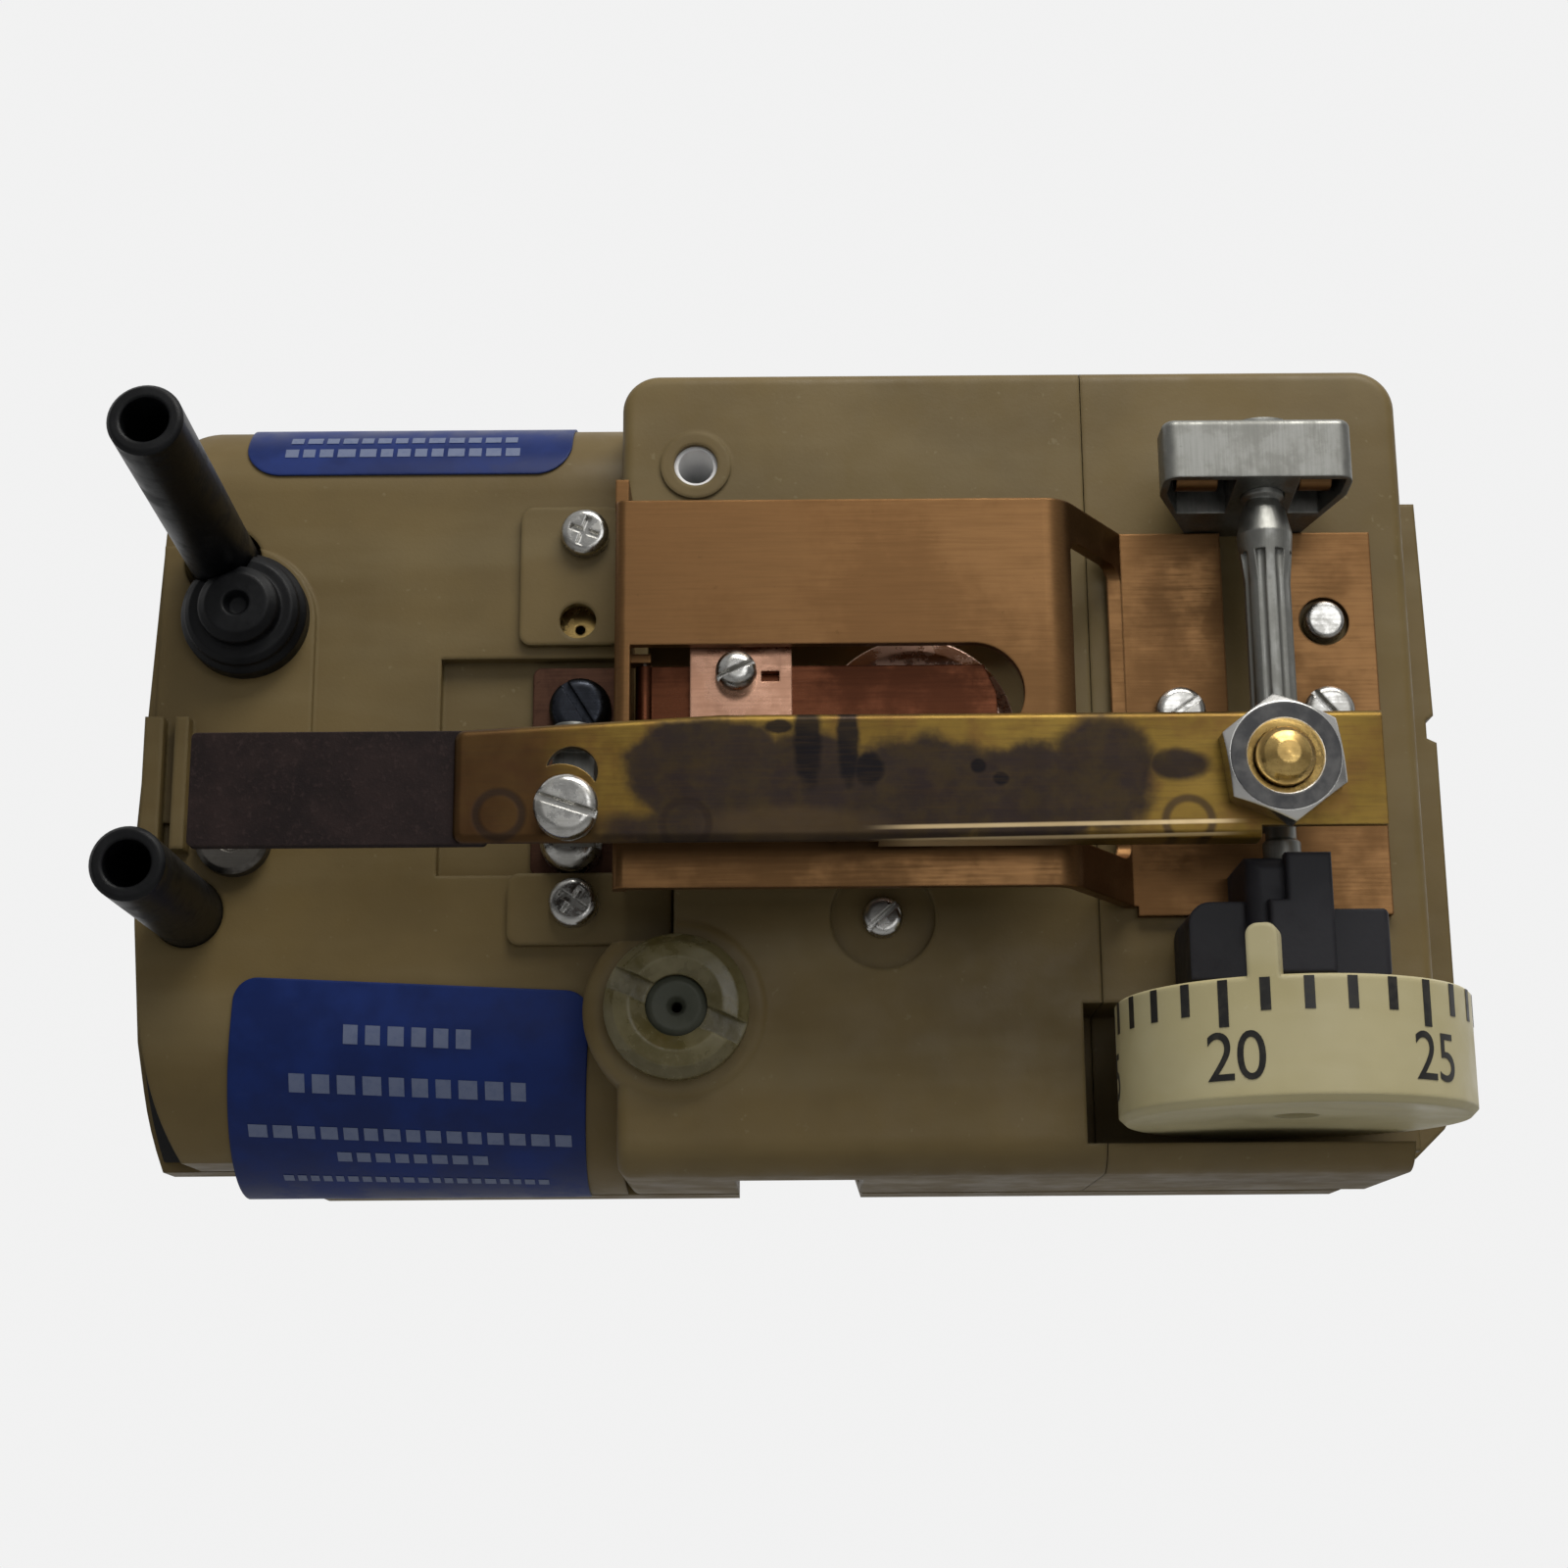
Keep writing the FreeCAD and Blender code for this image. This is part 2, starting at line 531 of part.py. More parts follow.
def port_plug():
    done(turned("port_plug", [("0", "0"), ("plug_radius", "0"), ("plug_radius", "0.9"),
                              ("plug_radius - 0.3", "1.2"), ("0.9", "1.2"), ("0.7", "0.7"), ("0", "0.7")],
                "plug_across", "plug_up", "left_front"), "port_plug")


def test_plug():
    """Amber ring with two spanner notches, screwed into the boss, round a rubber gauge-needle septum."""
    ring = turned("test_ring", [
        ("test_hub", "-1.5"), ("test_radius - 0.5", "-1.5"), ("test_radius - 0.5", "0.2"), ("test_radius", "0.2"),
        ("test_radius", "1.2"), ("test_radius - 0.6", "1.9"), ("test_hub + 0.9", "2.1"), ("test_hub", "1.5"),
    ], "test_across", "test_up", "block_front")
    notch = doc.addObject("Part::Box", "test_notch")
    bind(notch, "Length", "2 * test_radius + 2")
    bind(notch, "Width", "2")
    bind(notch, "Height", "1.3")
    spin = FreeCAD.Rotation(Y_AXIS, 24)
    offset = spin.multVec(FreeCAD.Vector(-value("test_radius + 1"), 0, -0.65))
    notch.Placement = FreeCAD.Placement(offset, spin)
    bind(notch, "Placement.Base.x", f"test_across + ({offset.x:.4f})")
    bind(notch, "Placement.Base.y", "-block_front - 3.2")
    bind(notch, "Placement.Base.z", f"test_up + ({offset.z:.4f})")
    done(cut("test_plug_ring", ring, [notch]), "test_plug_ring")
    done(turned("test_septum", [("0.3", "-2.5"), ("test_hub", "-2.5"), ("test_hub", "1.1"),
                                ("test_hub - 0.4", "1.4"), ("0.55", "1.1"), ("0.3", "0.6")],
                "test_across", "test_up", "block_front"), "test_septum")


# ---- covers on the left body ----


def cover(name, across, up, thick, holes):
    plate = box(name + "_plate", across, ("left_front", f"left_front + {thick}"), up)
    plate = rounded(name + "_round", plate, "0.7", lambda edge: straight(edge, Y_AXIS))
    tools = [rod(f"{name}_hole{i}", x, z, ("left_front - 1", "left_front + 2"), radius)
             for i, (x, z, radius) in enumerate(holes)]
    done(cut(name, plate, tools), name)


def left_covers():
    cover("restrictor_cover", ("-16.4", "-10.3"), ("7.8", "16.55"), "0.5",
          [("-12.5", "restrictor_screw_up", "0.78"), ("restrictor_across", "restrictor_up", "1.1")])
    cover("filter_cover", ("-16.8", "-7.2"), ("-10.45", "well_bottom"), "0.6", [("-12.9", "filter_up", "0.78")])
    screws = [
        screw("cover_screw_a", "-12.5", "restrictor_screw_up", "left_front + 0.5", "1.45", "1.0", "0.75", "3.5", 20,
              True),
        screw("cover_screw_b", "-12.9", "filter_up", "left_front + 0.6", "1.45", "1.0", "0.75", "3.5", 35, True),
    ]
    done(group("cover_screws", screws), "cover_screws")


def restrictor_and_filter():
    across, up = "restrictor_across", "restrictor_up"
    barrel = rod("restrictor_barrel", across, up, ("8", "11.6"), "1.5")
    done(cut("restrictor", barrel, [rod("restrictor_orifice", across, up, ("7", "14"), "0.3")]), "restrictor")
    disc = rod("filter_disc", "-13", "filter_up", ("9.5", "12.9"), "1.9")
    done(cut("air_filter", disc, [rod("filter_hole", "-12.9", "filter_up", ("9", "14"), "0.78")]), "air_filter")


# ---- fulcrum ----


def hinge_plate():
    plate = box("hinge_sheet", ("-15.6", "left_lip - 0.1"), ("well_floor", "well_floor + sheet"), ("-6.1", "6.6"))
    plate = rounded("hinge_round", plate, "0.5", lambda edge: straight(edge, Y_AXIS))
    spots = {"hinge_screw": ("hinge_across", "hinge_up"), "hinge_screw_lower": ("hinge_low_across", "hinge_low_up")}
    holes = [rod(name + "_hole", x, z, ("11", "14"), "0.92") for name, (x, z) in spots.items()]
    done(cut("hinge_plate", plate, holes), "hinge_plate")
    for (name, (x, z)), high, turn in zip(spots.items(), ("1.5", "2.4"), (58, 12)):
        done(screw(name, x, z, "well_floor + sheet", "1.85", high, "0.9", "4", turn), name)


def fulcrum():
    """Pillar with a round nose for the lever strip, and a shelf that holds the pivot screw and its spring washer."""
    across = ("pivot_across - fulcrum_round", "pivot_across + fulcrum_round")
    pillar = box("fulcrum_column", across, ("well_floor + sheet", "fulcrum_level"), ("-1.7", "-0.4"))
    nose = post("fulcrum_nose", "pivot_across", "fulcrum_level", ("-1.7", "-0.4"), "fulcrum_round")
    shelf = box("fulcrum_shelf", ("pivot_across - 1.15", "pivot_across + 1.15"), ("22.9", "24.5"),
                ("pivot_up - 0.9", "-0.4"))
    solid = joined("fulcrum_pillar_solid", [pillar, nose, shelf])
    done(cut("fulcrum_pillar", solid, [rod("fulcrum_thread", "pivot_across", "pivot_up", ("22", "25"), "0.8")]),
         "fulcrum_pillar")
    done(screw("pivot_screw", "pivot_across", "pivot_up", "28.2", "1.72", "1.2", "0.8", "5.3", 18), "pivot_screw")
    done(turned("pivot_spring", [("1.5", "0"), ("1.5", "0.2"), ("0.95", "1.1"), ("0.95", "0.9")],
                "pivot_across", "pivot_up", "27"), "pivot_spring")


# ---- bronze bridge ----

BRIDGE_SCREWS = [("22.3", "2.1"), ("30.9", "2.1")]


def bridge_plate():
    """One bronze sheet: left leg, span with the adjustment slot, sloping right leg with a window, and foot."""
    body = new_body("bridge_blank")
    sketch = new_sketch(body, "XY_Plane", "bridge_bottom")
    base = "block_front"
    outline(sketch, [
        ("bridge_left", f"-{base}"), ("bridge_left + leg_thick", f"-{base}"),
        ("bridge_left + leg_thick", "-(bridge_front - sheet)"), ("bridge_right - 0.45", "-(bridge_front - sheet)"),
        ("leg_foot - 0.5", f"-{base}"), ("foot_right", f"-{base}"), ("foot_right", f"-({base} + sheet)"),
        ("leg_foot - 0.05", f"-({base} + sheet)"), ("bridge_right", "-bridge_front"),
        ("bridge_left", "-bridge_front"),
    ])
    bends = pad(body, sketch, "bridge_top - bridge_bottom")
    corners = [("bridge_right", "bridge_front", "2"), ("bridge_right - 0.45", "bridge_front - sheet", "1.4"),
               ("bridge_left", "bridge_front", "0.6")]
    for x, depth, radius in corners:
        bends = fillet(body, bends, radius, lambda edge: straight(edge, Z_AXIS) and near(middle(edge).x, x)
                       and near(middle(edge).y, f"-({depth})"))
    doc.recompute()
    leg = ("bridge_left", "bridge_left + leg_thick")
    ear = box("bridge_ear", leg, (base, "bridge_front - 0.4"), ("bridge_top - 0.5", "bridge_top + 1.4"))
    skirt = box("bridge_skirt", ("leg_foot + 0.2", "foot_right"), (base, f"{base} + sheet"),
                ("foot_low", "bridge_bottom + 0.5"))
    knuckles = [box(f"bridge_knuckle{i}", ("bridge_left + 0.5", "leaf_left + 0.4"),
                    ("leaf_back - 0.3", "leaf_back + leaf_thick + 0.3"), up)
                for i, up in enumerate((("leaf_bottom - 0.65", "leaf_bottom - 0.15"),
                                        ("leaf_top + 0.15", "leaf_top + 0.65")))]
    solid = joined("bridge_solid", [body, ear, skirt] + knuckles)
    slot_radius = "(slot_high - slot_low) / 2"
    slot_middle = "(slot_high + slot_low) / 2"
    slot_depth = ("bridge_front - 1.3", "bridge_front + 1")
    foot_depth = ("block_front - 1", "block_front + 2")
    tools = [
        box("bridge_slot", ("slot_left", f"slot_right - {slot_radius}"), slot_depth, ("slot_low", "slot_high")),
        rod("bridge_slot_end", f"slot_right - {slot_radius}", slot_middle, slot_depth, slot_radius),
        rounded("bridge_window", box("bridge_window_box", ("bridge_right + 0.5", "leg_foot + 2"),
                                     ("block_front + 0.65", "bridge_front - 0.75"), ("-6.6", "10.9")),
                "0.9", lambda edge: straight(edge, X_AXIS)),
        box("bridge_foot_slot", ("shaft_across - 1.75", "shaft_across + 1.75"), foot_depth, ("-3.6", "14")),
        box("bridge_leg_end", ("bridge_left - 1", "bridge_left + leg_thick"), ("block_front - 1", "bridge_front - 1"),
            ("bridge_bottom - 1", "bridge_bottom + 2")),
        rod("bridge_nozzle_hole", "nozzle_across", "nozzle_up", slot_depth, "1.5"),
        rod("bridge_pin_hole", "pin_across", "pin_up", foot_depth, "1.45"),
        leaf_pin("bridge_leaf_pin"),
    ]
    for i, (x, z) in enumerate(BRIDGE_SCREWS):
        tools.append(rod(f"bridge_hole{i}", x, z, foot_depth, "0.78"))
    done(cut("bridge_plate", solid, tools), "bridge_plate")
    screws = [screw(f"bridge_screw{i}", x, z, "block_front + sheet", "1.45", "1.0", "0.75", "4.5", turn)
              for i, ((x, z), turn) in enumerate(zip(BRIDGE_SCREWS, (-35, 50)))]
    done(group("bridge_screws", screws), "bridge_screws")
    pin = rod("locating_pin_bar", "pin_across", "pin_up", ("13", "block_front + 1.1"), "1.15")
    done(rounded("locating_pin", pin, "0.3", lambda edge: near(middle(edge).y, "-block_front - 1.1")
                 and edge.Closed), "locating_pin")


def block_clamp_screw():
    done(screw("block_clamp_screw", "clamp_across", "clamp_up", "block_front - 0.5", "1.15", "0.9", "0.8", "11", -42),
         "block_clamp_screw")


# ---- feedback leaf, bellows, nozzle and sensitivity clip ----


def leaf_pin(name, radius="leaf_pin"):
    return post(name, "leaf_left", "leaf_back + leaf_thick / 2", ("leaf_bottom - 0.65", "leaf_top + 0.65"), radius)


def feedback_leaf():
    """Flat leaf whose left end is rolled into an eye round its hinge pin."""
    body = new_body("leaf_blank")
    sketch = new_sketch(body, "XZ_Plane", "leaf_back")
    outline(sketch, [("leaf_left", "leaf_bottom"), ("leaf_right", "leaf_bottom"), ("leaf_right - 0.1", "2.2"),
                     ("leaf_right - 0.8", "leaf_top"), ("leaf_left", "leaf_top")])
    pad(body, sketch, "leaf_thick")
    eye = post("leaf_roll", "leaf_left", "leaf_back + leaf_thick / 2", ("leaf_bottom", "leaf_top"), "leaf_eye")
    leaf = joined("leaf_solid", [body, eye])
    done(cut("feedback_leaf", leaf, [leaf_pin("leaf_bore", "leaf_pin + running_gap")]), "feedback_leaf")
    done(leaf_pin("leaf_hinge_pin"), "leaf_hinge_pin")


def feedback_bellows():
    folds = 6
    pitch = f"bellows_long / {folds}"
    corners = [("0", "0")]
    for fold in range(folds):
        corners.append(("bellows_radius - 0.8", f"{fold} * {pitch}"))
        corners.append(("bellows_radius", f"{fold + 0.3} * {pitch}"))
        corners.append(("bellows_radius", f"{fold + 0.7} * {pitch}"))
    corners += [("bellows_radius - 0.8", "bellows_long"), ("1", "bellows_long"), ("1", "bellows_long + 0.8"),
                ("0.8", "bellows_long + 0.95"), ("0", "bellows_long + 0.95")]
    done(turned("feedback_bellows", corners, "bellows_across", "bellows_up", "recess_floor"), "feedback_bellows")


def pilot_nozzle():
    done(turned("pilot_nozzle", [("0.3", "-2.5"), ("1.2", "-2.5"), ("1.2", "6.5"), ("0.75", "7.2"), ("0.75", "8.1"),
                                 ("0.55", "8.3"), ("0.3", "8.3")], "nozzle_across", "nozzle_up", "block_front"),
         "pilot_nozzle")


def sensitivity_clip():
    """Copper sleeve that slides along the leaf, with its clamp screw in front."""
    leaf_front = "leaf_back + leaf_thick"
    across = ("clip_left", "clip_right")
    sleeve = box("clip_sleeve", across, ("leaf_back - 0.75", f"{leaf_front} + 0.7"),
                 ("leaf_bottom - 0.5", "leaf_top + 1.25"))
    sleeve = rounded("clip_round", sleeve, "0.3", lambda edge: straight(edge, X_AXIS))
    way = box("clip_way", ("clip_left - 1", "clip_right + 1"), ("leaf_back - 0.15", f"{leaf_front} + 0.1"),
              ("leaf_bottom - 0.1", "leaf_top + 0.1"))
    bore = rod("clip_bore", "clamp_screw_across", "clamp_screw_up", (leaf_front, "25"), "0.62")
    window = box("clip_window", ("clamp_screw_across + 1.4", "clip_right - 0.7"), (leaf_front, "25"),
                 ("2.75", "3.35"))
    done(cut("sensitivity_clip", sleeve, [way, bore, window]), "sensitivity_clip")
    done(screw("clamp_screw", "clamp_screw_across", "clamp_screw_up", f"{leaf_front} + 0.7", "1.15", "1.6", "0.6",
               "0.6", -25), "clamp_screw")


# ---- set-point shaft, bearings and dial ----


def bearing_hollow(name, corners):
    body = new_body(name)
    sketch = new_sketch(body, "XY_Plane", "12")
    outline(sketch, corners)
    pad(body, sketch, "4.2")
    return body


def bearing_bracket():
    """Die-cast bearing: wide nose, sides drawn in towards the block, falling underside with two hollows."""
    plan = new_body("bearing_plan")
    sketch = new_sketch(plan, "XY_Plane", "12.5")
    outline(sketch, [("23.3", "-block_front"), ("29.8", "-block_front"), ("31.7", "-22.2"), ("31.7", "-24.5"),
                     ("21", "-24.5"), ("21", "-22.2")])
    casting = pad(plan, sketch, "5.05")
    fillet(plan, casting, "0.8", lambda edge: straight(edge, Z_AXIS) and middle(edge).y < -20)
    side = new_body("bearing_side")
    sketch = new_sketch(side, "YZ_Plane", "20")
    outline(sketch, [("-16", "13"), ("-25", "14.1"), ("-25", "18"), ("-16", "18")])
    pad(side, sketch, "14")
    doc.recompute()
    casting = common("bearing_casting", plan, side)
    casting = rounded("bearing_soft", casting, "0.4", lambda edge: near(middle(edge).z, "17.55")
                      and middle(edge).y < -23)
    boss = post("bearing_boss", "shaft_across", "shaft_depth", ("17", "17.85"), "journal + 0.7")
    tools = [
        post("bearing_bore", "shaft_across", "shaft_depth", ("10", "20"), "journal + running_gap"),
        bearing_hollow("bearing_hollow_left", [("22.3", "-20"), ("25.1", "-20"), ("25.1", "-24.1"),
                                               ("21.4", "-24.1"), ("21.4", "-22.4")]),
        bearing_hollow("bearing_hollow_right", [("28.7", "-20"), ("30.5", "-20"), ("31.3", "-22.4"),
                                                ("31.3", "-24.1"), ("28.7", "-24.1")]),
    ]
    done(cut("bearing_bracket", joined("bearing_solid", [casting, boss]), tools), "bearing_bracket")
    pins = []
    for side, across in {"left": ("21.95", "24.3"), "right": ("29.0", "30.8")}.items():
        bar = box("bracket_pin_bar_" + side, across, ("21.3", "22.7"), ("14.15", "16.2"))
        pins.append(rounded("bracket_pin_" + side, bar, "0.6", lambda edge: straight(edge, X_AXIS)
                            and middle(edge).z < 15))
    done(group("bracket_pins", pins), "bracket_pins")


def lower_bearing():
    """Black moulding that carries the shaft above the dial: hub, core, tall tab and offset side lobes."""
    base = "block_front"
    lobe = box("lower_lobe", ("21.5", "25.6"), (base, "22.5"), ("-14.25", "-9.95"))
    lobe = rounded("lower_lobe_round", lobe, "1.2", lambda edge: straight(edge, Y_AXIS) and middle(edge).x < 22
                   and middle(edge).z > -12)
    hub = box("lower_hub", ("24.6", "28.9"), (base, "23.6"), ("-14.25", "-7.6"))
    hub = rounded("lower_hub_round", hub, "0.8", lambda edge: middle(edge).y < -23 and middle(edge).z > -14)
    core = box("lower_core", ("25.6", "29.1"), (base, "24.4"), ("-14.25", "-10.15"))
    tab = box("lower_tab", ("26.6", "29.1"), ("23.4", "24.4"), ("-14.25", "-7.55"))
    arm = box("lower_arm", ("29.1", "32.3"), (base, "23.4"), ("-14.25", "-10.55"))
    arm = rounded("lower_arm_round", arm, "0.4", lambda edge: middle(edge).x > 32)
    solid = joined("lower_solid", [lobe, hub, core, tab, arm])
    solid = rounded("lower_soft", solid, "0.2", lambda edge: near(middle(edge).y, "-24.4"))
    tools = [post("lower_bore", "shaft_across", "shaft_depth", ("-20", "0"), "journal + running_gap"),
             box("lower_foot_room", ("20", "34"), (f"{base} - 1", f"{base} + sheet"), ("foot_low", "0"))]
    done(cut("lower_bearing", solid, tools), "lower_bearing")


def cam_sector(body):
    """Rising cam under the calibration screw: its radius changes evenly with the angle about the shaft."""
    sketch = new_sketch(body, "XY_Plane", "cam_low")
    low, high = math.radians(-155), math.radians(100)
    steps = 9
    spots = []
    for i in range(steps):
        angle = low + (high - low) * i / (steps - 1)
        radius = value("cam_mean") - value("cam_rise") * angle
        spots.append(FreeCAD.Vector(radius * math.sin(angle), -radius * math.cos(angle), 0))
    curve = Part.BSplineCurve()
    curve.interpolate(spots)
    sketch.addGeometry([curve, Part.LineSegment(spots[-1], spots[0])], False)
    sketch.addConstraint(Sketcher.Constraint("Coincident", 0, 2, 1, 1))
    sketch.addConstraint(Sketcher.Constraint("Coincident", 1, 2, 0, 1))
    pad(body, sketch, "cam_high - cam_low")


def setpoint_shaft():
    body = new_body("shaft_blank")
    sketch = new_sketch(body, "XZ_Plane")
    outline(sketch, [
        ("0", "dial_top - 1.4"), ("journal", "dial_top - 1.4"), ("journal", "-9.0"), ("shaft_radius - 0.25", "-8.6"),
        ("shaft_radius - 0.25", "-6.6"), ("shaft_core", "-6.4"), ("shaft_core", "-0.7"), ("shaft_radius", "-0.5"),
        ("shaft_radius", "8.4"),
        ("shaft_radius + 0.28", "11.3"), ("shaft_radius - 0.05", "12.8"), ("0.95", "13.4"), ("journal", "13.6"),
        ("journal", "shaft_top - 0.2"), ("journal - 0.2", "shaft_top"), ("0", "shaft_top"),
    ])
    revolve(body, sketch)
    doc.recompute()
    cam_sector(body)
    doc.recompute()
    flutes = []
    count = 8
    for i in range(count):
        angle = 2 * math.pi * (i + 0.5) / count
        across = f"(shaft_radius + 0.18) * {math.cos(angle):.5f}"
        depth = f"(shaft_radius + 0.18) * {math.sin(angle):.5f}"
        flutes.append(post(f"shaft_flute{i}", across, depth, ("-0.4", "10.2"), "0.3"))
    shaft = cut("setpoint_shaft", body, flutes)
    shaft.Placement = FreeCAD.Placement(FreeCAD.Vector(value("shaft_across"), -value("shaft_depth"), 0),
                                        FreeCAD.Rotation())
    done(shaft, "setpoint_shaft")


def dial():
    body = new_body("dial_blank")
    sketch = new_sketch(body, "XZ_Plane")
    outline(sketch, [
        ("journal", "dial_bottom + 3.4"), ("journal", "dial_bottom + dial_dish"), ("3.2", "dial_bottom + dial_dish"),
        ("dial_radius - 1.2", "dial_bottom"), ("dial_radius - 0.35", "dial_bottom"),
        ("dial_radius", "dial_bottom + 0.35"), ("dial_radius", "dial_top - 0.15"),
        ("dial_radius - 0.15", "dial_top"), ("dial_radius - tab_thick", "dial_top"),
        ("dial_radius - tab_thick - 0.1", "dial_bottom + 0.9 + dial_web"), ("2.6", "dial_bottom + 0.9 + dial_web"),
        ("2.6", "dial_top + 0.6"), ("journal", "dial_top + 0.6"),
    ])
    revolve(body, sketch)
    doc.recompute()
    tab = box("dial_tab_bar", ("-tab_wide / 2", "tab_wide / 2"), ("dial_radius - tab_thick - 0.2", "dial_radius + 1"),
              ("dial_top - 1", "dial_top + tab_high"))
    tab = rounded("dial_tab_round", tab, "0.6", lambda edge: straight(edge, Y_AXIS) and middle(edge).z > -14)
    rim = post("dial_tab_rim", "0", "0", ("dial_top - 2", "dial_top + 4"), "dial_radius")
    inner = post("dial_tab_inner", "0", "0", ("dial_top - 3", "dial_top + 5"), "dial_radius - tab_thick")
    band = cut("dial_tab_band", rim, [inner])
    tab = common("dial_tab", tab, band)
    tab.Placement = FreeCAD.Placement(FreeCAD.Vector(), FreeCAD.Rotation(Z_AXIS, value("tab_angle")))
    wheel = joined("dial", [body, tab])
    wheel.Placement = FreeCAD.Placement(FreeCAD.Vector(value("shaft_across"), -value("shaft_depth"), 0),
                                        FreeCAD.Rotation())
    done(wheel, "dial")


# ---- lever ----


def lever_strip():
    """Brass strip with a turned-back lip on its lower edge, a bore for the screw and a window over the fulcrum."""
    front = "strip_back + strip_thick"
    body = new_body("strip_blank")
    sketch = new_sketch(body, "XZ_Plane", "strip_back")
    outline(sketch, [
        ("strip_left", "strip_bottom"), ("lip_right", "strip_bottom"), ("lip_right", "waist_bottom"),
        ("strip_right", "waist_bottom"), ("strip_right", "strip_top"), ("-4", "strip_top"),
        ("strip_left", "strip_top - strip_fall"),
    ])
    blade = pad(body, sketch, "strip_thick")
    ends = fillet(body, blade, "0.6", lambda edge: straight(edge, Y_AXIS) and near(middle(edge).x, "strip_left"))
    fillet(body, ends, "strip_thick - 0.05", lambda edge: straight(edge, X_AXIS)
           and near(middle(edge).y, f"-({front})") and near(middle(edge).z, "strip_bottom"))
    doc.recompute()
    lip = box("strip_lip", ("lip_left", "lip_right"), ("strip_back - lip_deep", "strip_back"),
              ("strip_bottom", "strip_bottom + strip_thick"))
    solid = joined("strip_solid", [body, lip])
    through = ("strip_back - 1", f"{front} + 1")
    crescent = cut("strip_crescent", rod("strip_crescent_outer", "-12", "-3.35", through, "1.4"),
                   [rod("strip_crescent_inner", "-12.6", "-5.1", through, "2.2")])
    tools = [
        rod("strip_pivot_hole", "pivot_across", "pivot_up", through, "1.1"),
        rod("strip_screw_hole", "screw_across", "screw_up", through, "screw_radius + running_gap"),
        crescent,
    ]
    done(cut("lever_strip", solid, tools), "lever_strip")


def bimetal():
    blade = box("bimetal_blade", ("bimetal_left", "bimetal_lap"),
                ("strip_back - bimetal_thick", "strip_back"), ("strip_bottom", "bimetal_top"))
    done(rounded("bimetal", blade, "0.3", lambda edge: straight(edge, Y_AXIS)), "bimetal")


def hexagon(name, flats, depth, across, up, turn):
    """Six-sided bar that stands out of the wall."""
    bar = doc.addObject("Part::Prism", name)
    bar.Polygon = 6
    bind(bar, "Circumradius", f"{flats} / sqrt(3)")
    bind(bar, "Height", f"({depth[1]}) - ({depth[0]})")
    spin = FreeCAD.Rotation(X_AXIS, 90).multiply(FreeCAD.Rotation(Z_AXIS, turn))
    bar.Placement = FreeCAD.Placement(FreeCAD.Vector(), spin)
    bind(bar, "Placement.Base.x", across)
    bind(bar, "Placement.Base.y", f"-({depth[0]})")
    bind(bar, "Placement.Base.z", up)
    return bar


def lock_nut():
    seat = "strip_back + strip_thick"
    bar = hexagon("nut_bar", "nut_flats", (seat, f"{seat} + nut_thick"), "screw_across", "screw_up", 97)
    cone = turned("nut_cone", [("0", "0"), ("nut_flats / 2 + 1.2", "0"), ("nut_flats / 2 + 1.2", "nut_thick - 0.85"),
                               ("nut_flats / 2 - 0.1", "nut_thick"), ("0", "nut_thick")],
                  "screw_across", "screw_up", seat)
    sink = turned("nut_sink", [("0", "-1"), ("screw_radius + running_gap", "-1"),
                               ("screw_radius + running_gap", "nut_thick - 0.5"),
                               ("screw_radius + 0.55", "nut_thick + 0.05"), ("0", "nut_thick + 0.05")],
                  "screw_across", "screw_up", seat)
    done(cut("lock_nut", common("nut_blank", bar, cone), [sink]), "lock_nut")


def calibration_screw():
    tip = "shaft_depth + cam_mean + 0.2"
    done(turned("calibration_screw", [
        ("0", tip), ("0.45", tip), ("0.8", f"{tip} + 0.35"), ("0.8", "25.3"), ("screw_radius", "25.7"),
        ("screw_radius", "28.2"), ("screw_radius - 0.35", "28.75"), ("screw_radius - 0.95", "29.1"), ("0", "29.2"),
    ], "screw_across", "screw_up"), "calibration_screw")


# ---- relay inside the block ----


def relay_parts():
    across, up = "relay_across", "relay_up"
    done(rod("diaphragm_disc", across, up, ("body_back", "body_back + 0.45"), "relay_radius + 1.45"),
         "relay_diaphragm")
    done(rod("diaphragm_plate_disc", across, up, ("body_back + 0.5", "body_back + 1.4"), "6"), "diaphragm_plate")
    done(turned("valve_stem", [("0", "0"), ("1.0", "0"), ("1.0", "5.6"), ("1.7", "6.2"), ("1.7", "6.8"),
                               ("0.6", "7.6"), ("0", "7.6")], across, up, "body_back + 1.4"), "valve_stem")
    seat = rod("valve_seat_ring", across, up, ("relay_roof + 0.55", "14"), "2.4")
    done(cut("valve_seat", seat, [rod("valve_seat_way", across, up, ("12", "15"), "0.8")]), "valve_seat")
    done(coil("valve_spring", across, up, ("6.0", "12.1"), "3.2", "0.25", 4), "valve_spring")


def check_document():
    doc.recompute()
    for item in doc.Objects:
        if "Invalid" in item.State or "Error" in item.State:
            raise RuntimeError(f"{item.Name} failed: {item.State}")
    for item in finished:
        if item.Shape.isNull() or not item.Shape.isValid() or not item.Shape.Solids:
            raise RuntimeError(f"{item.Label}: no valid solid")


def write_steps():
    os.makedirs("parts", exist_ok=True)
    for item in finished:
        item.Shape.exportStep(os.path.join("parts", item.Label + ".step"))


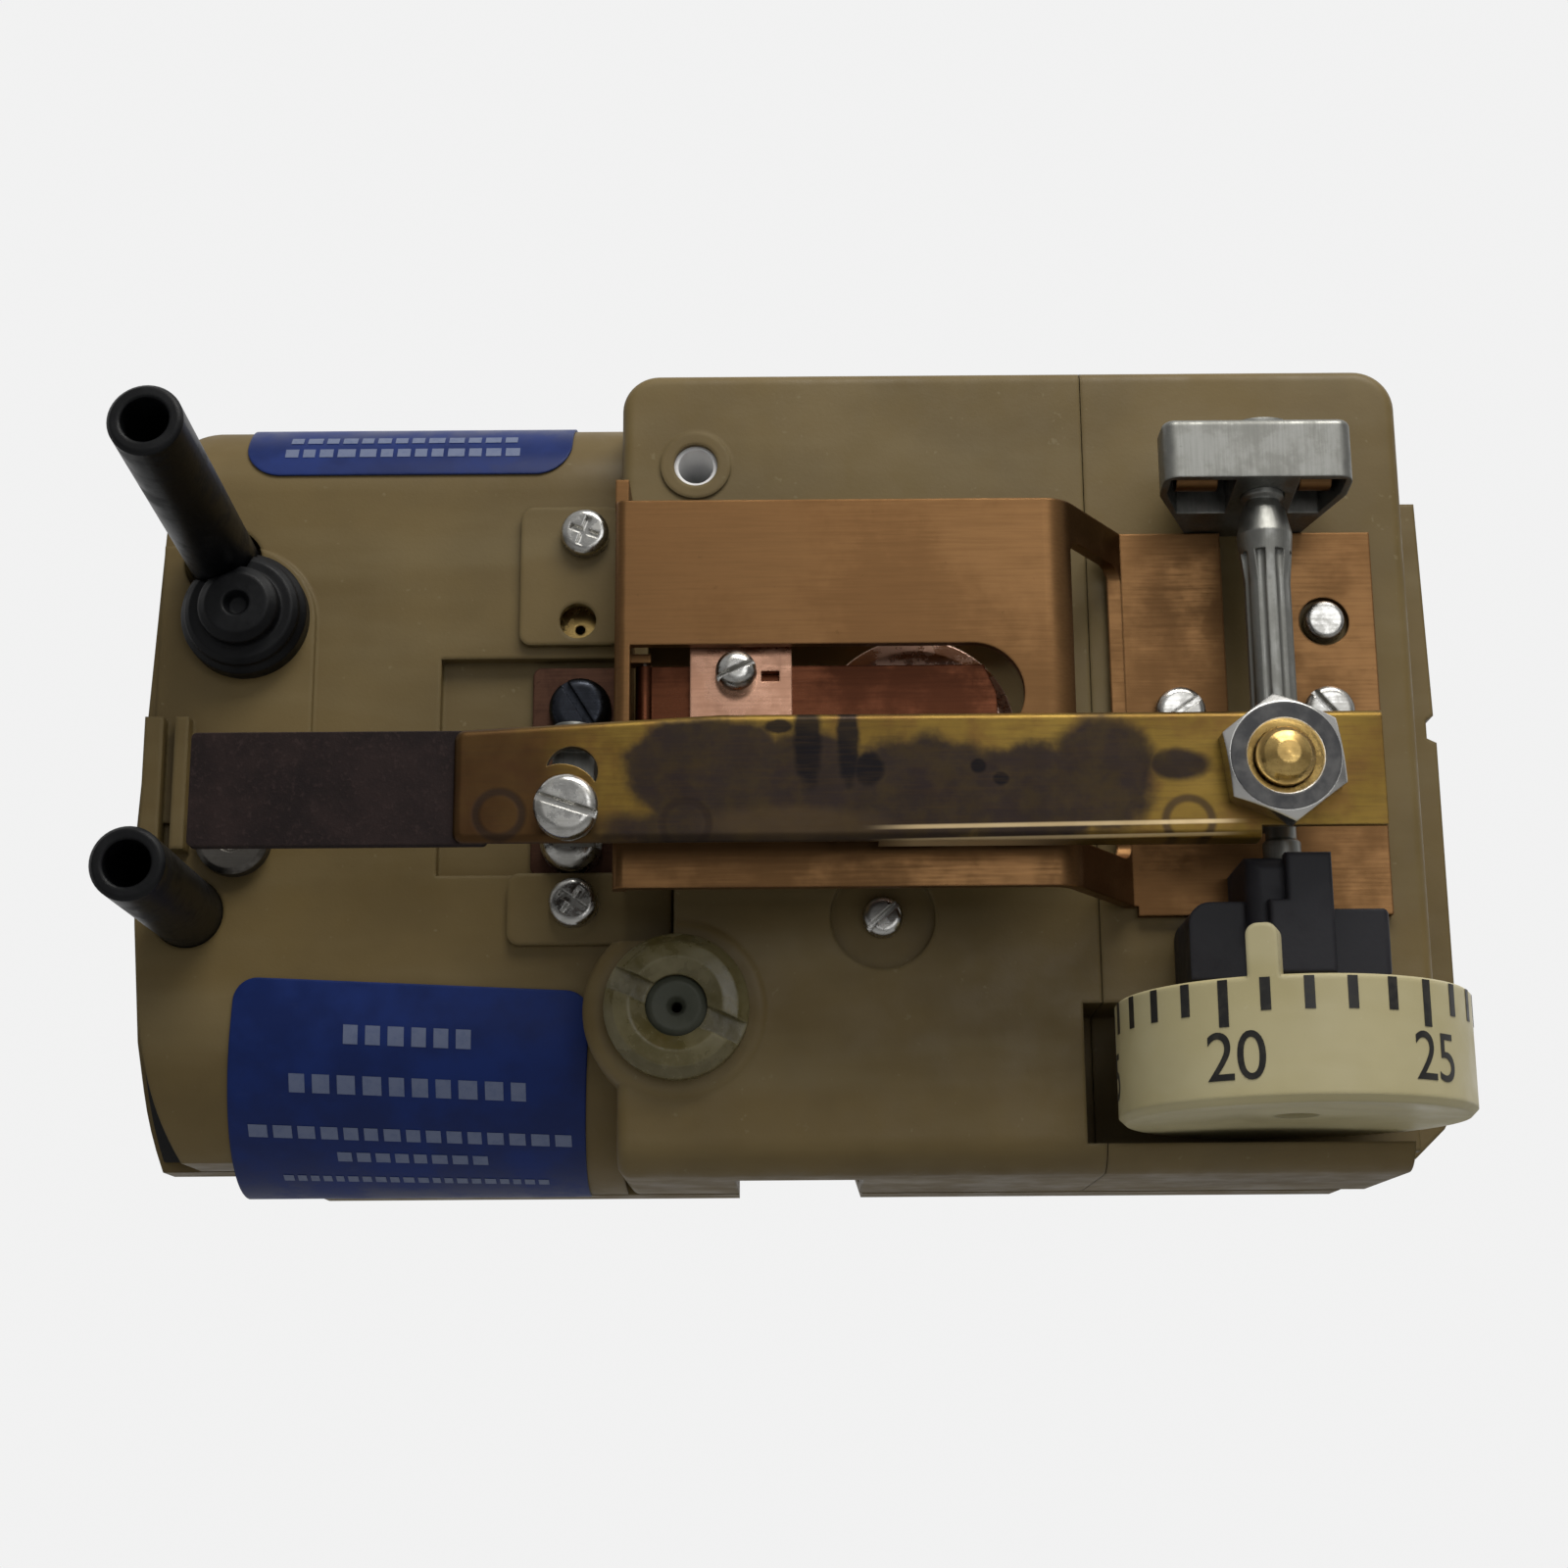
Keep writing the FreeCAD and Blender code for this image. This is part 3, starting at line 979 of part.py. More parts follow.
fill_sheet()
base_plate()
channel_gasket()
left_body()
relay_block()
end_block()
case_screws()
mount_bush()
labels()
tube("upper_tube", "upper_tube_across", "upper_tube_up", "upper_tube_long", DIMENSIONS["upper_tube_lean"])
tube("lower_tube", "lower_tube_across", "lower_tube_up", "lower_tube_long", 0)
upper_connector()
port_plug()
test_plug()
left_covers()
restrictor_and_filter()
hinge_plate()
fulcrum()
bridge_plate()
block_clamp_screw()
feedback_leaf()
feedback_bellows()
pilot_nozzle()
sensitivity_clip()
bearing_bracket()
lower_bearing()
setpoint_shaft()
dial()
lever_strip()
bimetal()
lock_nut()
calibration_screw()
relay_parts()
check_document()
write_steps()
print(len(finished), "nodes")
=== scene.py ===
import json
import math
import random

import bmesh
import bpy
from mathutils import Matrix, Vector


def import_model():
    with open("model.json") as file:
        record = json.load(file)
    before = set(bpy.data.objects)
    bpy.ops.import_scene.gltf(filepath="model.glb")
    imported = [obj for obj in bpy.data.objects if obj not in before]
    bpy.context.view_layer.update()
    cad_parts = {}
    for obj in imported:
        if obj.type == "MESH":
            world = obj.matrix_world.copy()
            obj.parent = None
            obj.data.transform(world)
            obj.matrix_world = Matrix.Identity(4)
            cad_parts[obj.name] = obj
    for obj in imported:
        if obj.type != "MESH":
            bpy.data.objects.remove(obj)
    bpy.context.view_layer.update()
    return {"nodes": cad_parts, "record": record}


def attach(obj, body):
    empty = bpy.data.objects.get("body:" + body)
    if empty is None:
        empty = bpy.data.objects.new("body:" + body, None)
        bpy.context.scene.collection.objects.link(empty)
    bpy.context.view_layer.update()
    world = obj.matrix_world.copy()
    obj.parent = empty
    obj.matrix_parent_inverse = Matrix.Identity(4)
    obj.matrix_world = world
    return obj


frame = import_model()
nodes = frame["nodes"]
scene = bpy.context.scene
random.seed(11)
MM = 0.001
LEVER_FRONT, STAIN_DEPTH = -26, 9  # where stains lie on the lever and how deep they reach, in millimetres
EDGE_START, EDGE_FULL = 0.03, 0.25  # how far a rounded normal turns where an edge begins and ends


# ---- node graphs: lengths inside a material are in millimetres ----


class Graph:
    """A material under construction, with its principled shader and short calls for the nodes it needs."""

    def __init__(self, name):
        self.material = bpy.data.materials.new(name)
        self.material.use_nodes = True
        self.tree = self.material.node_tree
        self.tree.nodes.clear()
        output = self.tree.nodes.new("ShaderNodeOutputMaterial")
        self.shader = self.tree.nodes.new("ShaderNodeBsdfPrincipled")
        self.tree.links.new(self.shader.outputs[0], output.inputs["Surface"])
        coordinates = self.tree.nodes.new("ShaderNodeTexCoord")
        self.place = self.vector("SCALE", coordinates.outputs["Object"], scale=1000.0)

    def put(self, socket, value):
        if isinstance(value, bpy.types.NodeSocket):
            self.tree.links.new(value, socket)
        elif socket.type == "RGBA" and len(value) == 3:
            socket.default_value = (*value, 1.0)
        else:
            socket.default_value = value

    def set(self, **values):
        names = {"color": "Base Color", "rough": "Roughness", "metal": "Metallic", "normal": "Normal",
                 "sheen": "Sheen Weight", "ior": "IOR", "through": "Transmission Weight",
                 "spec": "Specular IOR Level"}
        for key, value in values.items():
            self.put(self.shader.inputs[names[key]], value)

    def vector(self, operation, a, b=None, scale=None):
        node = self.tree.nodes.new("ShaderNodeVectorMath")
        node.operation = operation
        self.put(node.inputs[0], a)
        if b is not None:
            self.put(node.inputs[1], b)
        if scale is not None:
            node.inputs["Scale"].default_value = scale
        return node.outputs["Value"] if operation in ("LENGTH", "DOT_PRODUCT") else node.outputs["Vector"]

    def math(self, operation, a, b=0.0):
        node = self.tree.nodes.new("ShaderNodeMath")
        node.operation = operation
        self.put(node.inputs[0], a)
        self.put(node.inputs[1], b)
        return node.outputs[0]

    def ramp(self, value, low, high, to_low=0.0, to_high=1.0):
        node = self.tree.nodes.new("ShaderNodeMapRange")
        node.interpolation_type = "SMOOTHSTEP"
        for socket, number in zip(node.inputs[:5], (value, low, high, to_low, to_high)):
            self.put(socket, number)
        return node.outputs[0]

    def noise(self, size, detail=3.0, rough=0.55, stretch=(1, 1, 1), offset=(0, 0, 0)):
        """Noise between about 0.25 and 0.75 whose features are about size millimetres across."""
        spot = self.vector("MULTIPLY", self.vector("ADD", self.place, offset), stretch)
        node = self.tree.nodes.new("ShaderNodeTexNoise")
        self.put(node.inputs["Vector"], spot)
        node.inputs["Scale"].default_value = 1.0 / size
        node.inputs["Detail"].default_value = detail
        node.inputs["Roughness"].default_value = rough
        return node.outputs["Fac"]

    def mix(self, amount, a, b):
        node = self.tree.nodes.new("ShaderNodeMix")
        node.data_type = "RGBA"
        self.put(node.inputs[0], amount)
        self.put(node.inputs[6], a)
        self.put(node.inputs[7], b)
        return node.outputs[2]

    def split(self, spot):
        node = self.tree.nodes.new("ShaderNodeSeparateXYZ")
        self.put(node.inputs[0], spot)
        return node.outputs

    def blob(self, center, size, edge=0.35, warp=0.0, warp_size=1.5):
        """1 inside an ellipsoid of these half-sizes round center, with a soft and optionally ragged edge."""
        spot = self.vector("SUBTRACT", self.place, center)
        far = self.vector("LENGTH", self.vector("DIVIDE", spot, size))
        if warp:
            ragged = self.math("MULTIPLY", self.math("SUBTRACT", self.noise(warp_size), 0.5), warp)
            far = self.math("ADD", far, ragged)
        return self.ramp(far, 1.0 + edge / 2, 1.0 - edge / 2)

    def edges(self, radius):
        """1 along sharp edges, from how far a rounded normal leaves the true one."""
        bevel = self.tree.nodes.new("ShaderNodeBevel")
        bevel.samples = 4
        bevel.inputs["Radius"].default_value = radius * MM
        geometry = self.tree.nodes.new("ShaderNodeNewGeometry")
        same = self.vector("DOT_PRODUCT", bevel.outputs[0], geometry.outputs["Normal"])
        return self.ramp(self.math("SUBTRACT", 1.0, same), EDGE_START, EDGE_FULL), bevel.outputs[0]

    def bump(self, height, depth, strength=1.0, normal=None):
        node = self.tree.nodes.new("ShaderNodeBump")
        self.put(node.inputs["Height"], height)
        node.inputs["Distance"].default_value = depth * MM
        node.inputs["Strength"].default_value = strength
        if normal is not None:
            self.put(node.inputs["Normal"], normal)
        return node.outputs[0]


def any_of(graph, masks):
    """The strongest of several masks at each point."""
    total = masks[0]
    for mask in masks[1:]:
        total = graph.math("MAXIMUM", total, mask)
    return total


def stains(graph, patches):
    """Ragged patches on the lever's front, each (centre, half-size, edge, warp, warp size) in X and Z."""
    return any_of(graph, [
        graph.blob((x, LEVER_FRONT, z), (wide, STAIN_DEPTH, tall), edge, warp, warp_size)
        for (x, z), (wide, tall), edge, warp, warp_size in patches
    ])


def moulded(name, tone, shade, dust, rough=0.52, grain=0.012, spots=0.5, spec=0.3):
    """Moulded plastic: cloudy tone, fine texture, rubbed edges, handling marks and settled dust."""
    graph = Graph(name)
    cloud = graph.ramp(graph.noise(14, 4, 0.6), 0.35, 0.65)
    streak = graph.ramp(graph.noise(5, 3, 0.5, stretch=(0.25, 1, 1.4)), 0.4, 0.72)
    color = graph.mix(cloud, shade, tone)
    color = graph.mix(graph.math("MULTIPLY", streak, 0.3), color, dust)
    speck = graph.ramp(graph.noise(0.55, 2, 0.5, offset=(40, 3, 8)), 0.70, 0.78)
    color = graph.mix(graph.math("MULTIPLY", speck, spots), color, dust)
    worn, soft = graph.edges(0.35)
    color = graph.mix(graph.math("MULTIPLY", worn, 0.35), color, dust)
    smear = graph.ramp(graph.noise(3.2, 3, 0.6, offset=(9, 0, 5)), 0.3, 0.7, rough - 0.09, rough + 0.1)
    texture = graph.noise(0.22, 2, 0.6)
    graph.set(color=color, rough=smear, spec=spec, normal=graph.bump(texture, grain, 0.6, soft))
    return graph.material


def metal(name, tone, tarnish, rough=0.35, amount=0.5, brushed=(0.04, 1, 1), grain=0.004, edge=0.3, size=6):
    """Sheet or turned metal: tarnish in clouds, a brushed or turned grain, bright rubbed edges."""
    graph = Graph(name)
    cloud = graph.ramp(graph.noise(size, 5, 0.65), 0.38, 0.66)
    color = graph.mix(graph.math("MULTIPLY", cloud, amount), tone, tarnish)
    lines = graph.noise(0.16, 3, 0.6, stretch=brushed)
    color = graph.mix(graph.ramp(lines, 0.35, 0.7, 0.0, 0.35), color, tarnish)
    pits = graph.ramp(graph.noise(0.4, 2, 0.5, offset=(3, 70, 1)), 0.71, 0.78)
    color = graph.mix(graph.math("MULTIPLY", pits, 0.5), color, tarnish)
    worn, soft = graph.edges(0.15)
    bright = tuple(min(1.0, value * 1.6) for value in tone)
    color = graph.mix(graph.math("MULTIPLY", worn, edge), color, bright)
    uneven = graph.ramp(graph.math("ADD", cloud, lines), 0.4, 1.4, rough - 0.07, rough + 0.13)
    graph.set(color=color, metal=1.0, rough=uneven, normal=graph.bump(lines, grain, 0.7, soft))
    return graph.material


def rubber(name, tone, dust, rough=0.5, amount=0.25, grain=0.02, size=2.5, spec=0.3):
    """Black or grey rubber: faint bloom, dust held on the edges, soft skin texture."""
    graph = Graph(name)
    bloom = graph.ramp(graph.noise(size, 4, 0.6), 0.42, 0.72)
    color = graph.mix(graph.math("MULTIPLY", bloom, amount), tone, dust)
    worn, soft = graph.edges(0.25)
    color = graph.mix(graph.math("MULTIPLY", worn, 0.22), color, dust)
    skin = graph.noise(0.35, 3, 0.6)
    graph.set(color=color, rough=graph.ramp(bloom, 0, 1, rough, rough + 0.18), spec=spec,
              normal=graph.bump(skin, grain, 0.5, soft))
    return graph.material


def printed_foil(name):
    """Blue printed foil, slightly rubbed along its edges."""
    graph = Graph(name)
    patch = graph.ramp(graph.noise(4, 4, 0.6), 0.35, 0.7)
    color = graph.mix(patch, (0.0025, 0.014, 0.095), (0.004, 0.022, 0.145))
    rubbed = graph.ramp(graph.noise(0.8, 4, 0.65, stretch=(0.5, 1, 1)), 0.62, 0.8)
    color = graph.mix(graph.math("MULTIPLY", rubbed, 0.2), color, (0.03, 0.05, 0.14))
    worn, soft = graph.edges(0.2)
    color = graph.mix(graph.math("MULTIPLY", worn, 0.25), color, (0.05, 0.08, 0.18))
    wave = graph.noise(1.6, 2, 0.5)
    graph.set(color=color, rough=graph.ramp(patch, 0, 1, 0.38, 0.52), spec=0.25,
              normal=graph.bump(wave, 0.02, 0.35, soft))
    return graph.material


def stained_brass(name):
    """The lever: yellow brass, heat-stained in the middle, with spot-weld rings, black drips and two painted
    highlight lines along its lower edge.
    """
    graph = Graph(name)
    x, _, z = graph.split(graph.place)
    cloud = graph.ramp(graph.noise(4, 4, 0.6), 0.35, 0.65)
    tone = graph.mix(cloud, (0.150, 0.089, 0.017), (0.215, 0.135, 0.026))
    warm = graph.ramp(graph.noise(2.6, 3, 0.6, offset=(5, 0, 17)), 0.45, 0.68)
    color = graph.mix(graph.math("MULTIPLY", warm, 0.5), tone, (0.115, 0.050, 0.016))
    left_end = graph.ramp(graph.math("ADD", x, graph.math("MULTIPLY", z, 0.6)), -12.2, -16.5)
    color = graph.mix(graph.math("MULTIPLY", left_end, 0.8), color, (0.055, 0.022, 0.010))
    grey = stains(graph, [
        ((-4.6, -3.4), (4.6, 3.1), 0.2, 0.35, 1.5),
        ((0.6, -4.0), (3.4, 2.9), 0.3, 0.4, 1.5),
        ((-2.5, -6.6), (8.5, 1.3), 0.6, 0.6, 1.5),
        ((6.8, -4.6), (5.0, 3.2), 0.3, 0.45, 1.5),
        ((12.4, -4.8), (4.6, 2.9), 0.3, 0.5, 1.5),
        ((16.6, -3.6), (3.0, 3.2), 0.35, 0.45, 1.5),
        ((20.6, -3.2), (1.7, 0.9), 0.5, 0.4, 1.5),
    ])
    mottle = graph.ramp(graph.noise(1.3, 4, 0.6), 0.35, 0.7)
    haze = graph.mix(mottle, (0.019, 0.014, 0.017), (0.036, 0.025, 0.015))
    color = graph.mix(graph.math("MULTIPLY", grey, 0.92), color, haze)
    low_warm = stains(graph, [((-0.5, -6.3), (4.5, 0.9), 0.8, 0.5, 1.5)])
    color = graph.mix(graph.math("MULTIPLY", low_warm, 0.6), color, (0.085, 0.055, 0.026))
    black = stains(graph, [
        ((0.7, -1.7), (0.75, 2.6), 0.5, 0.5, 0.8),
        ((2.9, -1.6), (0.6, 2.6), 0.5, 0.5, 0.8),
        ((4.0, -3.3), (0.8, 0.9), 0.5, 0.5, 0.7),
        ((9.9, -3.2), (0.42, 0.4), 0.5, 0.3, 0.6),
        ((11.1, -3.9), (0.42, 0.36), 0.5, 0.3, 0.6),
        ((-0.8, -0.9), (0.8, 0.4), 0.5, 0.5, 0.6),
    ])
    color = graph.mix(graph.math("MULTIPLY", black, 0.92), color, (0.007, 0.006, 0.008))
    rings = []
    for weld_x, weld_z in ((-15.9, -5.7), (-5.9, -6.3), (21.1, -6.3)):
        around = graph.vector("SUBTRACT", graph.place, (weld_x, 0, weld_z))
        flat = graph.vector("MULTIPLY", around, (1, 0, 1))
        away = graph.math("ABSOLUTE", graph.math("SUBTRACT", graph.vector("LENGTH", flat), 1.25))
        rings.append(graph.ramp(away, 0.34, 0.08))
    ring = any_of(graph, rings)
    color = graph.mix(graph.math("MULTIPLY", ring, 0.75), color, (0.028, 0.018, 0.014))
    lines = graph.noise(0.14, 3, 0.6, stretch=(0.05, 1, 1))
    color = graph.mix(graph.ramp(lines, 0.4, 0.75, 0.0, 0.3), color, (0.06, 0.035, 0.014))
    # Painted highlight: two thin near-white lines across the lower face, standing in for light caught on the
    # bottom edge.
    reach = graph.ramp(x, 3.5, 7.0)
    fold = graph.math("ADD", z, graph.math("MULTIPLY", x, -0.012))
    painted_highlight_lines = any_of(graph, [
        graph.ramp(graph.math("ABSOLUTE", graph.math("ADD", fold, level)), width, width * 0.3)
        for level, width in ((6.60, 0.17), (7.28, 0.12))
    ])
    painted_highlight_lines = graph.math("MULTIPLY", graph.math("MULTIPLY", painted_highlight_lines, reach), graph.ramp(x, 24.5, 22.0))
    color = graph.mix(graph.math("MULTIPLY", painted_highlight_lines, 0.85), color, (0.62, 0.47, 0.26))
    worn, soft = graph.edges(0.12)
    color = graph.mix(graph.math("MULTIPLY", worn, 0.7), color, (0.42, 0.30, 0.14))
    rough = graph.math("ADD", graph.ramp(graph.noise(2, 3, 0.6), 0.3, 0.7, 0.34, 0.48),
                       graph.math("MULTIPLY", grey, 0.14))
    height = graph.math("ADD", graph.math("MULTIPLY", lines, 0.4), graph.math("MULTIPLY", ring, -0.8))
    graph.set(color=color, metal=0.85, rough=rough, normal=graph.bump(height, 0.012, 0.7, soft))
    return graph.material


def plated_nut_with_painted_highlights(name):
    """Dull plated face, with painted highlights on the chamfers and countersink and on the rubbed corners.
    """
    graph = Graph(name)
    geometry = graph.tree.nodes.new("ShaderNodeNewGeometry")
    facing = graph.vector("DOT_PRODUCT", geometry.outputs["Normal"], (0, -1, 0))
    # Faces turned away from the front are painted near white: a painted highlight on the chamfers and
    # countersink.
    slope_highlight = graph.ramp(facing, 0.985, 0.93)
    cloud = graph.ramp(graph.noise(1.4, 4, 0.6), 0.35, 0.7)
    face = graph.mix(cloud, (0.055, 0.055, 0.057), (0.105, 0.103, 0.100))
    color = graph.mix(slope_highlight, face, (0.70, 0.69, 0.66))
    worn, soft = graph.edges(0.22)
    # Rubbed corners, brightened to near white as a painted highlight.
    color = graph.mix(graph.math("MULTIPLY", worn, 0.8), color, (0.85, 0.84, 0.80))
    lines = graph.noise(0.14, 3, 0.6, stretch=(1, 1, 0.1))
    graph.set(color=color, metal=1.0, rough=graph.ramp(slope_highlight, 0, 1, 0.46, 0.22),
              normal=graph.bump(lines, 0.004, 0.6, soft))
    return graph.material


def bimetal_skin(name):
    """Oxidised purple-brown strip with a fine woven look and paler edges."""
    graph = Graph(name)
    cloud = graph.ramp(graph.noise(3.5, 4, 0.65), 0.35, 0.68)
    color = graph.mix(cloud, (0.012, 0.0068, 0.0068), (0.023, 0.013, 0.012))
    weave = graph.noise(0.32, 3, 0.7)
    color = graph.mix(graph.ramp(weave, 0.5, 0.72, 0.0, 0.55), color, (0.048, 0.031, 0.029))
    worn, soft = graph.edges(0.12)
    color = graph.mix(graph.math("MULTIPLY", worn, 0.45), color, (0.12, 0.085, 0.07))
    graph.set(color=color, metal=0.35, spec=0.25, rough=graph.ramp(weave, 0.3, 0.7, 0.55, 0.75),
              normal=graph.bump(weave, 0.03, 0.7, soft))
    return graph.material


def amber(name):
    """Cloudy yellow plastic that lets a little light through."""
    graph = Graph(name)
    cloud = graph.ramp(graph.noise(1.8, 4, 0.6), 0.35, 0.7)
    color = graph.mix(cloud, (0.125, 0.100, 0.030), (0.22, 0.185, 0.085))
    worn, soft = graph.edges(0.25)
    color = graph.mix(graph.math("MULTIPLY", worn, 0.5), color, (0.45, 0.40, 0.22))
    ripple = graph.noise(0.7, 3, 0.5)
    graph.set(color=color, rough=graph.ramp(cloud, 0, 1, 0.22, 0.36), ior=1.5, through=0.25,
              normal=graph.bump(ripple, 0.04, 0.5, soft))
    return graph.material


def ink(name, tone, pale):
    """Printed ink, patchy where it is thin."""
    graph = Graph(name)
    patch = graph.ramp(graph.noise(0.5, 3, 0.6), 0.4, 0.75)
    graph.set(color=graph.mix(graph.math("MULTIPLY", patch, 0.4), tone, pale),
              rough=graph.ramp(patch, 0, 1, 0.45, 0.6), normal=graph.bump(graph.noise(0.2), 0.01, 0.4))
    return graph.material


def felt(name):
    """Soft pale filter felt."""
    graph = Graph(name)
    hair = graph.noise(0.18, 4, 0.7)
    graph.set(color=graph.mix(graph.ramp(hair, 0.35, 0.7), (0.35, 0.33, 0.29), (0.6, 0.58, 0.53)), sheen=0.3,
              rough=graph.ramp(hair, 0.3, 0.7, 0.85, 0.98), normal=graph.bump(hair, 0.08, 0.8))
    return graph.material


MATERIALS = {
    "case_moulding": moulded("olive_moulding", (0.160, 0.111, 0.039), (0.128, 0.088, 0.030),
                             (0.215, 0.170, 0.085)),
    "gasket_rubber": rubber("gasket_rubber", (0.012, 0.012, 0.012), (0.06, 0.055, 0.045)),
    "zinc_steel": metal("zinc_plate", (0.62, 0.61, 0.58), (0.24, 0.23, 0.20), 0.22, 0.42, size=1.2),
    "black_oxide": metal("black_oxide", (0.045, 0.050, 0.062), (0.014, 0.014, 0.016), 0.32, 0.5, size=1.0),
    "nylon": moulded("pale_bush", (0.92, 0.92, 0.92), (0.86, 0.86, 0.86), (0.95, 0.94, 0.92), 0.45,
                     spots=0.1, spec=0.5),
    "label_foil": printed_foil("blue_foil"),
    "tube_rubber": rubber("black_tube", (0.0022, 0.0024, 0.0030), (0.009, 0.010, 0.012), 0.40, spec=0.25),
    "plug_metal": metal("dull_plug", (0.16, 0.15, 0.135), (0.07, 0.063, 0.055), 0.42, 0.6, size=1.5),
    "amber_plastic": amber("amber_plastic"),
    "septum_rubber": rubber("grey_septum", (0.062, 0.066, 0.047), (0.12, 0.12, 0.09), 0.45, 0.4),
    "brass": metal("turned_brass", (0.72, 0.50, 0.18), (0.34, 0.21, 0.07), 0.24, 0.45, size=1.2),
    "bronze": metal("bronze_sheet", (0.215, 0.113, 0.046), (0.135, 0.070, 0.029), 0.40, 0.5, size=9),
    "copper": metal("bright_copper", (0.60, 0.34, 0.23), (0.30, 0.15, 0.09), 0.27, 0.45, size=2.2),
    "leaf_bronze": metal("dark_leaf", (0.115, 0.040, 0.019), (0.055, 0.020, 0.011), 0.33, 0.5, size=4),
    "hinge_brown": metal("brown_plate", (0.100, 0.050, 0.032), (0.045, 0.024, 0.018), 0.42, 0.6, size=2.5),
    "strip_brass": stained_brass("heat_stained_brass"),
    "bimetal_surface": bimetal_skin("oxidised_bimetal"),
    "cast_zinc": metal("cast_zinc", (0.27, 0.27, 0.25), (0.17, 0.17, 0.155), 0.44, 0.45,
                       brushed=(1, 1, 0.05), grain=0.008, size=2),
    "black_moulding": rubber("blue_black_moulding", (0.014, 0.0135, 0.018), (0.045, 0.043, 0.05), 0.5, 0.3),
    "ivory_moulding": moulded("ivory_moulding", (0.53, 0.465, 0.255), (0.44, 0.38, 0.20), (0.60, 0.55, 0.36),
                              0.42, grain=0.006, spots=0.2),
    "felt": felt("filter_felt"),
    "diaphragm_rubber": rubber("diaphragm_rubber", (0.02, 0.02, 0.02), (0.07, 0.065, 0.06)),
}
NUT = plated_nut_with_painted_highlights("nut_plate_painted_highlights")
FOLDS = metal("bellows_copper", (0.95, 0.66, 0.52), (0.55, 0.30, 0.20), 0.24, 0.35, size=1.5)
INK = ink("dial_ink", (0.012, 0.011, 0.010), (0.05, 0.045, 0.03))
PRINT = ink("label_print", (0.13, 0.16, 0.26), (0.07, 0.10, 0.21))

OWN_FINISH = {"lock_nut": NUT, "feedback_bellows": FOLDS}
slot_of = {part["node"]: part["material_slot"] for part in frame["record"]["subparts"]}
for name, item in nodes.items():
    for place in item.material_slots:
        place.material = OWN_FINISH.get(name, MATERIALS[slot_of[name]])


# ---- pieces that the CAD leaves to the surface: dial marks and label print ----


def finish_piece(mesh_data, name, material, body):
    """Put a made mesh in the scene on its body, with its material and slot."""
    piece = bpy.data.objects.new(name, mesh_data)
    scene.collection.objects.link(piece)
    mesh_data.materials.clear()
    mesh_data.materials.append(material)
    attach(piece, body)
    return piece


def outline_mesh(text, size):
    """Flat mesh of a numeral, centred on x, with its baseline at 0."""
    curve = bpy.data.curves.new("numeral", "FONT")
    curve.body = text
    curve.size = size
    curve.align_x = "CENTER"
    curve.space_character = 0.98
    curve.resolution_u = 6
    letter = bpy.data.objects.new("numeral", curve)
    scene.collection.objects.link(letter)
    bpy.context.view_layer.update()
    made = bpy.data.meshes.new_from_object(letter.evaluated_get(bpy.context.evaluated_depsgraph_get()))
    bpy.data.objects.remove(letter)
    return made


def dial_marks():
    """Degree marks and numerals printed round the dial's rim, each bent to the rim's radius."""
    axis = Vector((0.0269, -0.022, 0.0))
    ink_gap = 0.00003
    radius = 9.5 * MM + ink_gap
    rim = -15.4 * MM
    per_degree = math.radians(13.4)
    front_degree = 22.41
    tick_half, tick_top = 0.27 * MM, rim - 0.12 * MM
    long_tick, short_tick = 2.55, 1.82
    numeral_size, numeral_squeeze, numeral_shift = 3.6 * MM, 0.94, 0.24
    baseline = rim - 5.28 * MM
    mesh = bmesh.new()

    def wrap(across, up):
        angle = across / radius
        return axis + Vector((radius * math.sin(angle), -radius * math.cos(angle), up))

    def bar(middle, half, top, bottom):
        columns = 4
        steps = [half * (2 * i / columns - 1) for i in range(columns + 1)]
        rows = [[mesh.verts.new(wrap(middle + step, up)) for step in steps] for up in (bottom, top)]
        for i in range(columns):
            mesh.faces.new((rows[0][i], rows[0][i + 1], rows[1][i + 1], rows[1][i]))

    for degree in range(13, 30):
        long = degree % 5 == 0
        middle = (degree - front_degree) * per_degree * radius
        bar(middle, tick_half, tick_top, rim - (long_tick if long else short_tick) * MM)
    for number in ("15", "20", "25"):
        flat = outline_mesh(number, numeral_size)
        middle = (int(number) - front_degree + numeral_shift) * per_degree * radius
        letters = bmesh.new()
        letters.from_mesh(flat)
        edges = [edge for edge in letters.edges if edge.calc_length() > 0.4 * MM]
        bmesh.ops.subdivide_edges(letters, edges=edges, cuts=3)
        bmesh.ops.triangulate(letters, faces=letters.faces)
        moved = {}
        for vertex in letters.verts:
            spot = wrap(middle + vertex.co.x * numeral_squeeze, baseline + vertex.co.y)
            moved[vertex.index] = mesh.verts.new(spot)
        for face in letters.faces:
            mesh.faces.new([moved[vertex.index] for vertex in face.verts])
        letters.free()
    data = bpy.data.meshes.new("dial_marks")
    mesh.to_mesh(data)
    mesh.free()
    piece = finish_piece(data, "dial_marks", INK, "setpoint")
    thick = piece.modifiers.new("ink", "SOLIDIFY")
    thick.thickness = 0.02 * MM
    return piece


def foil_point(across, along, lift, bend_up, front, round_radius, sign):
    """Point on a foil that runs flat and then round an edge; along is the distance past the bend."""
    if along <= 0:
        return Vector((across, -(front + lift), bend_up - sign * along))
    angle = along / round_radius
    reach = round_radius + lift
    out = front - round_radius + reach * math.cos(angle)
    return Vector((across, -out, bend_up - sign * reach * math.sin(angle)))


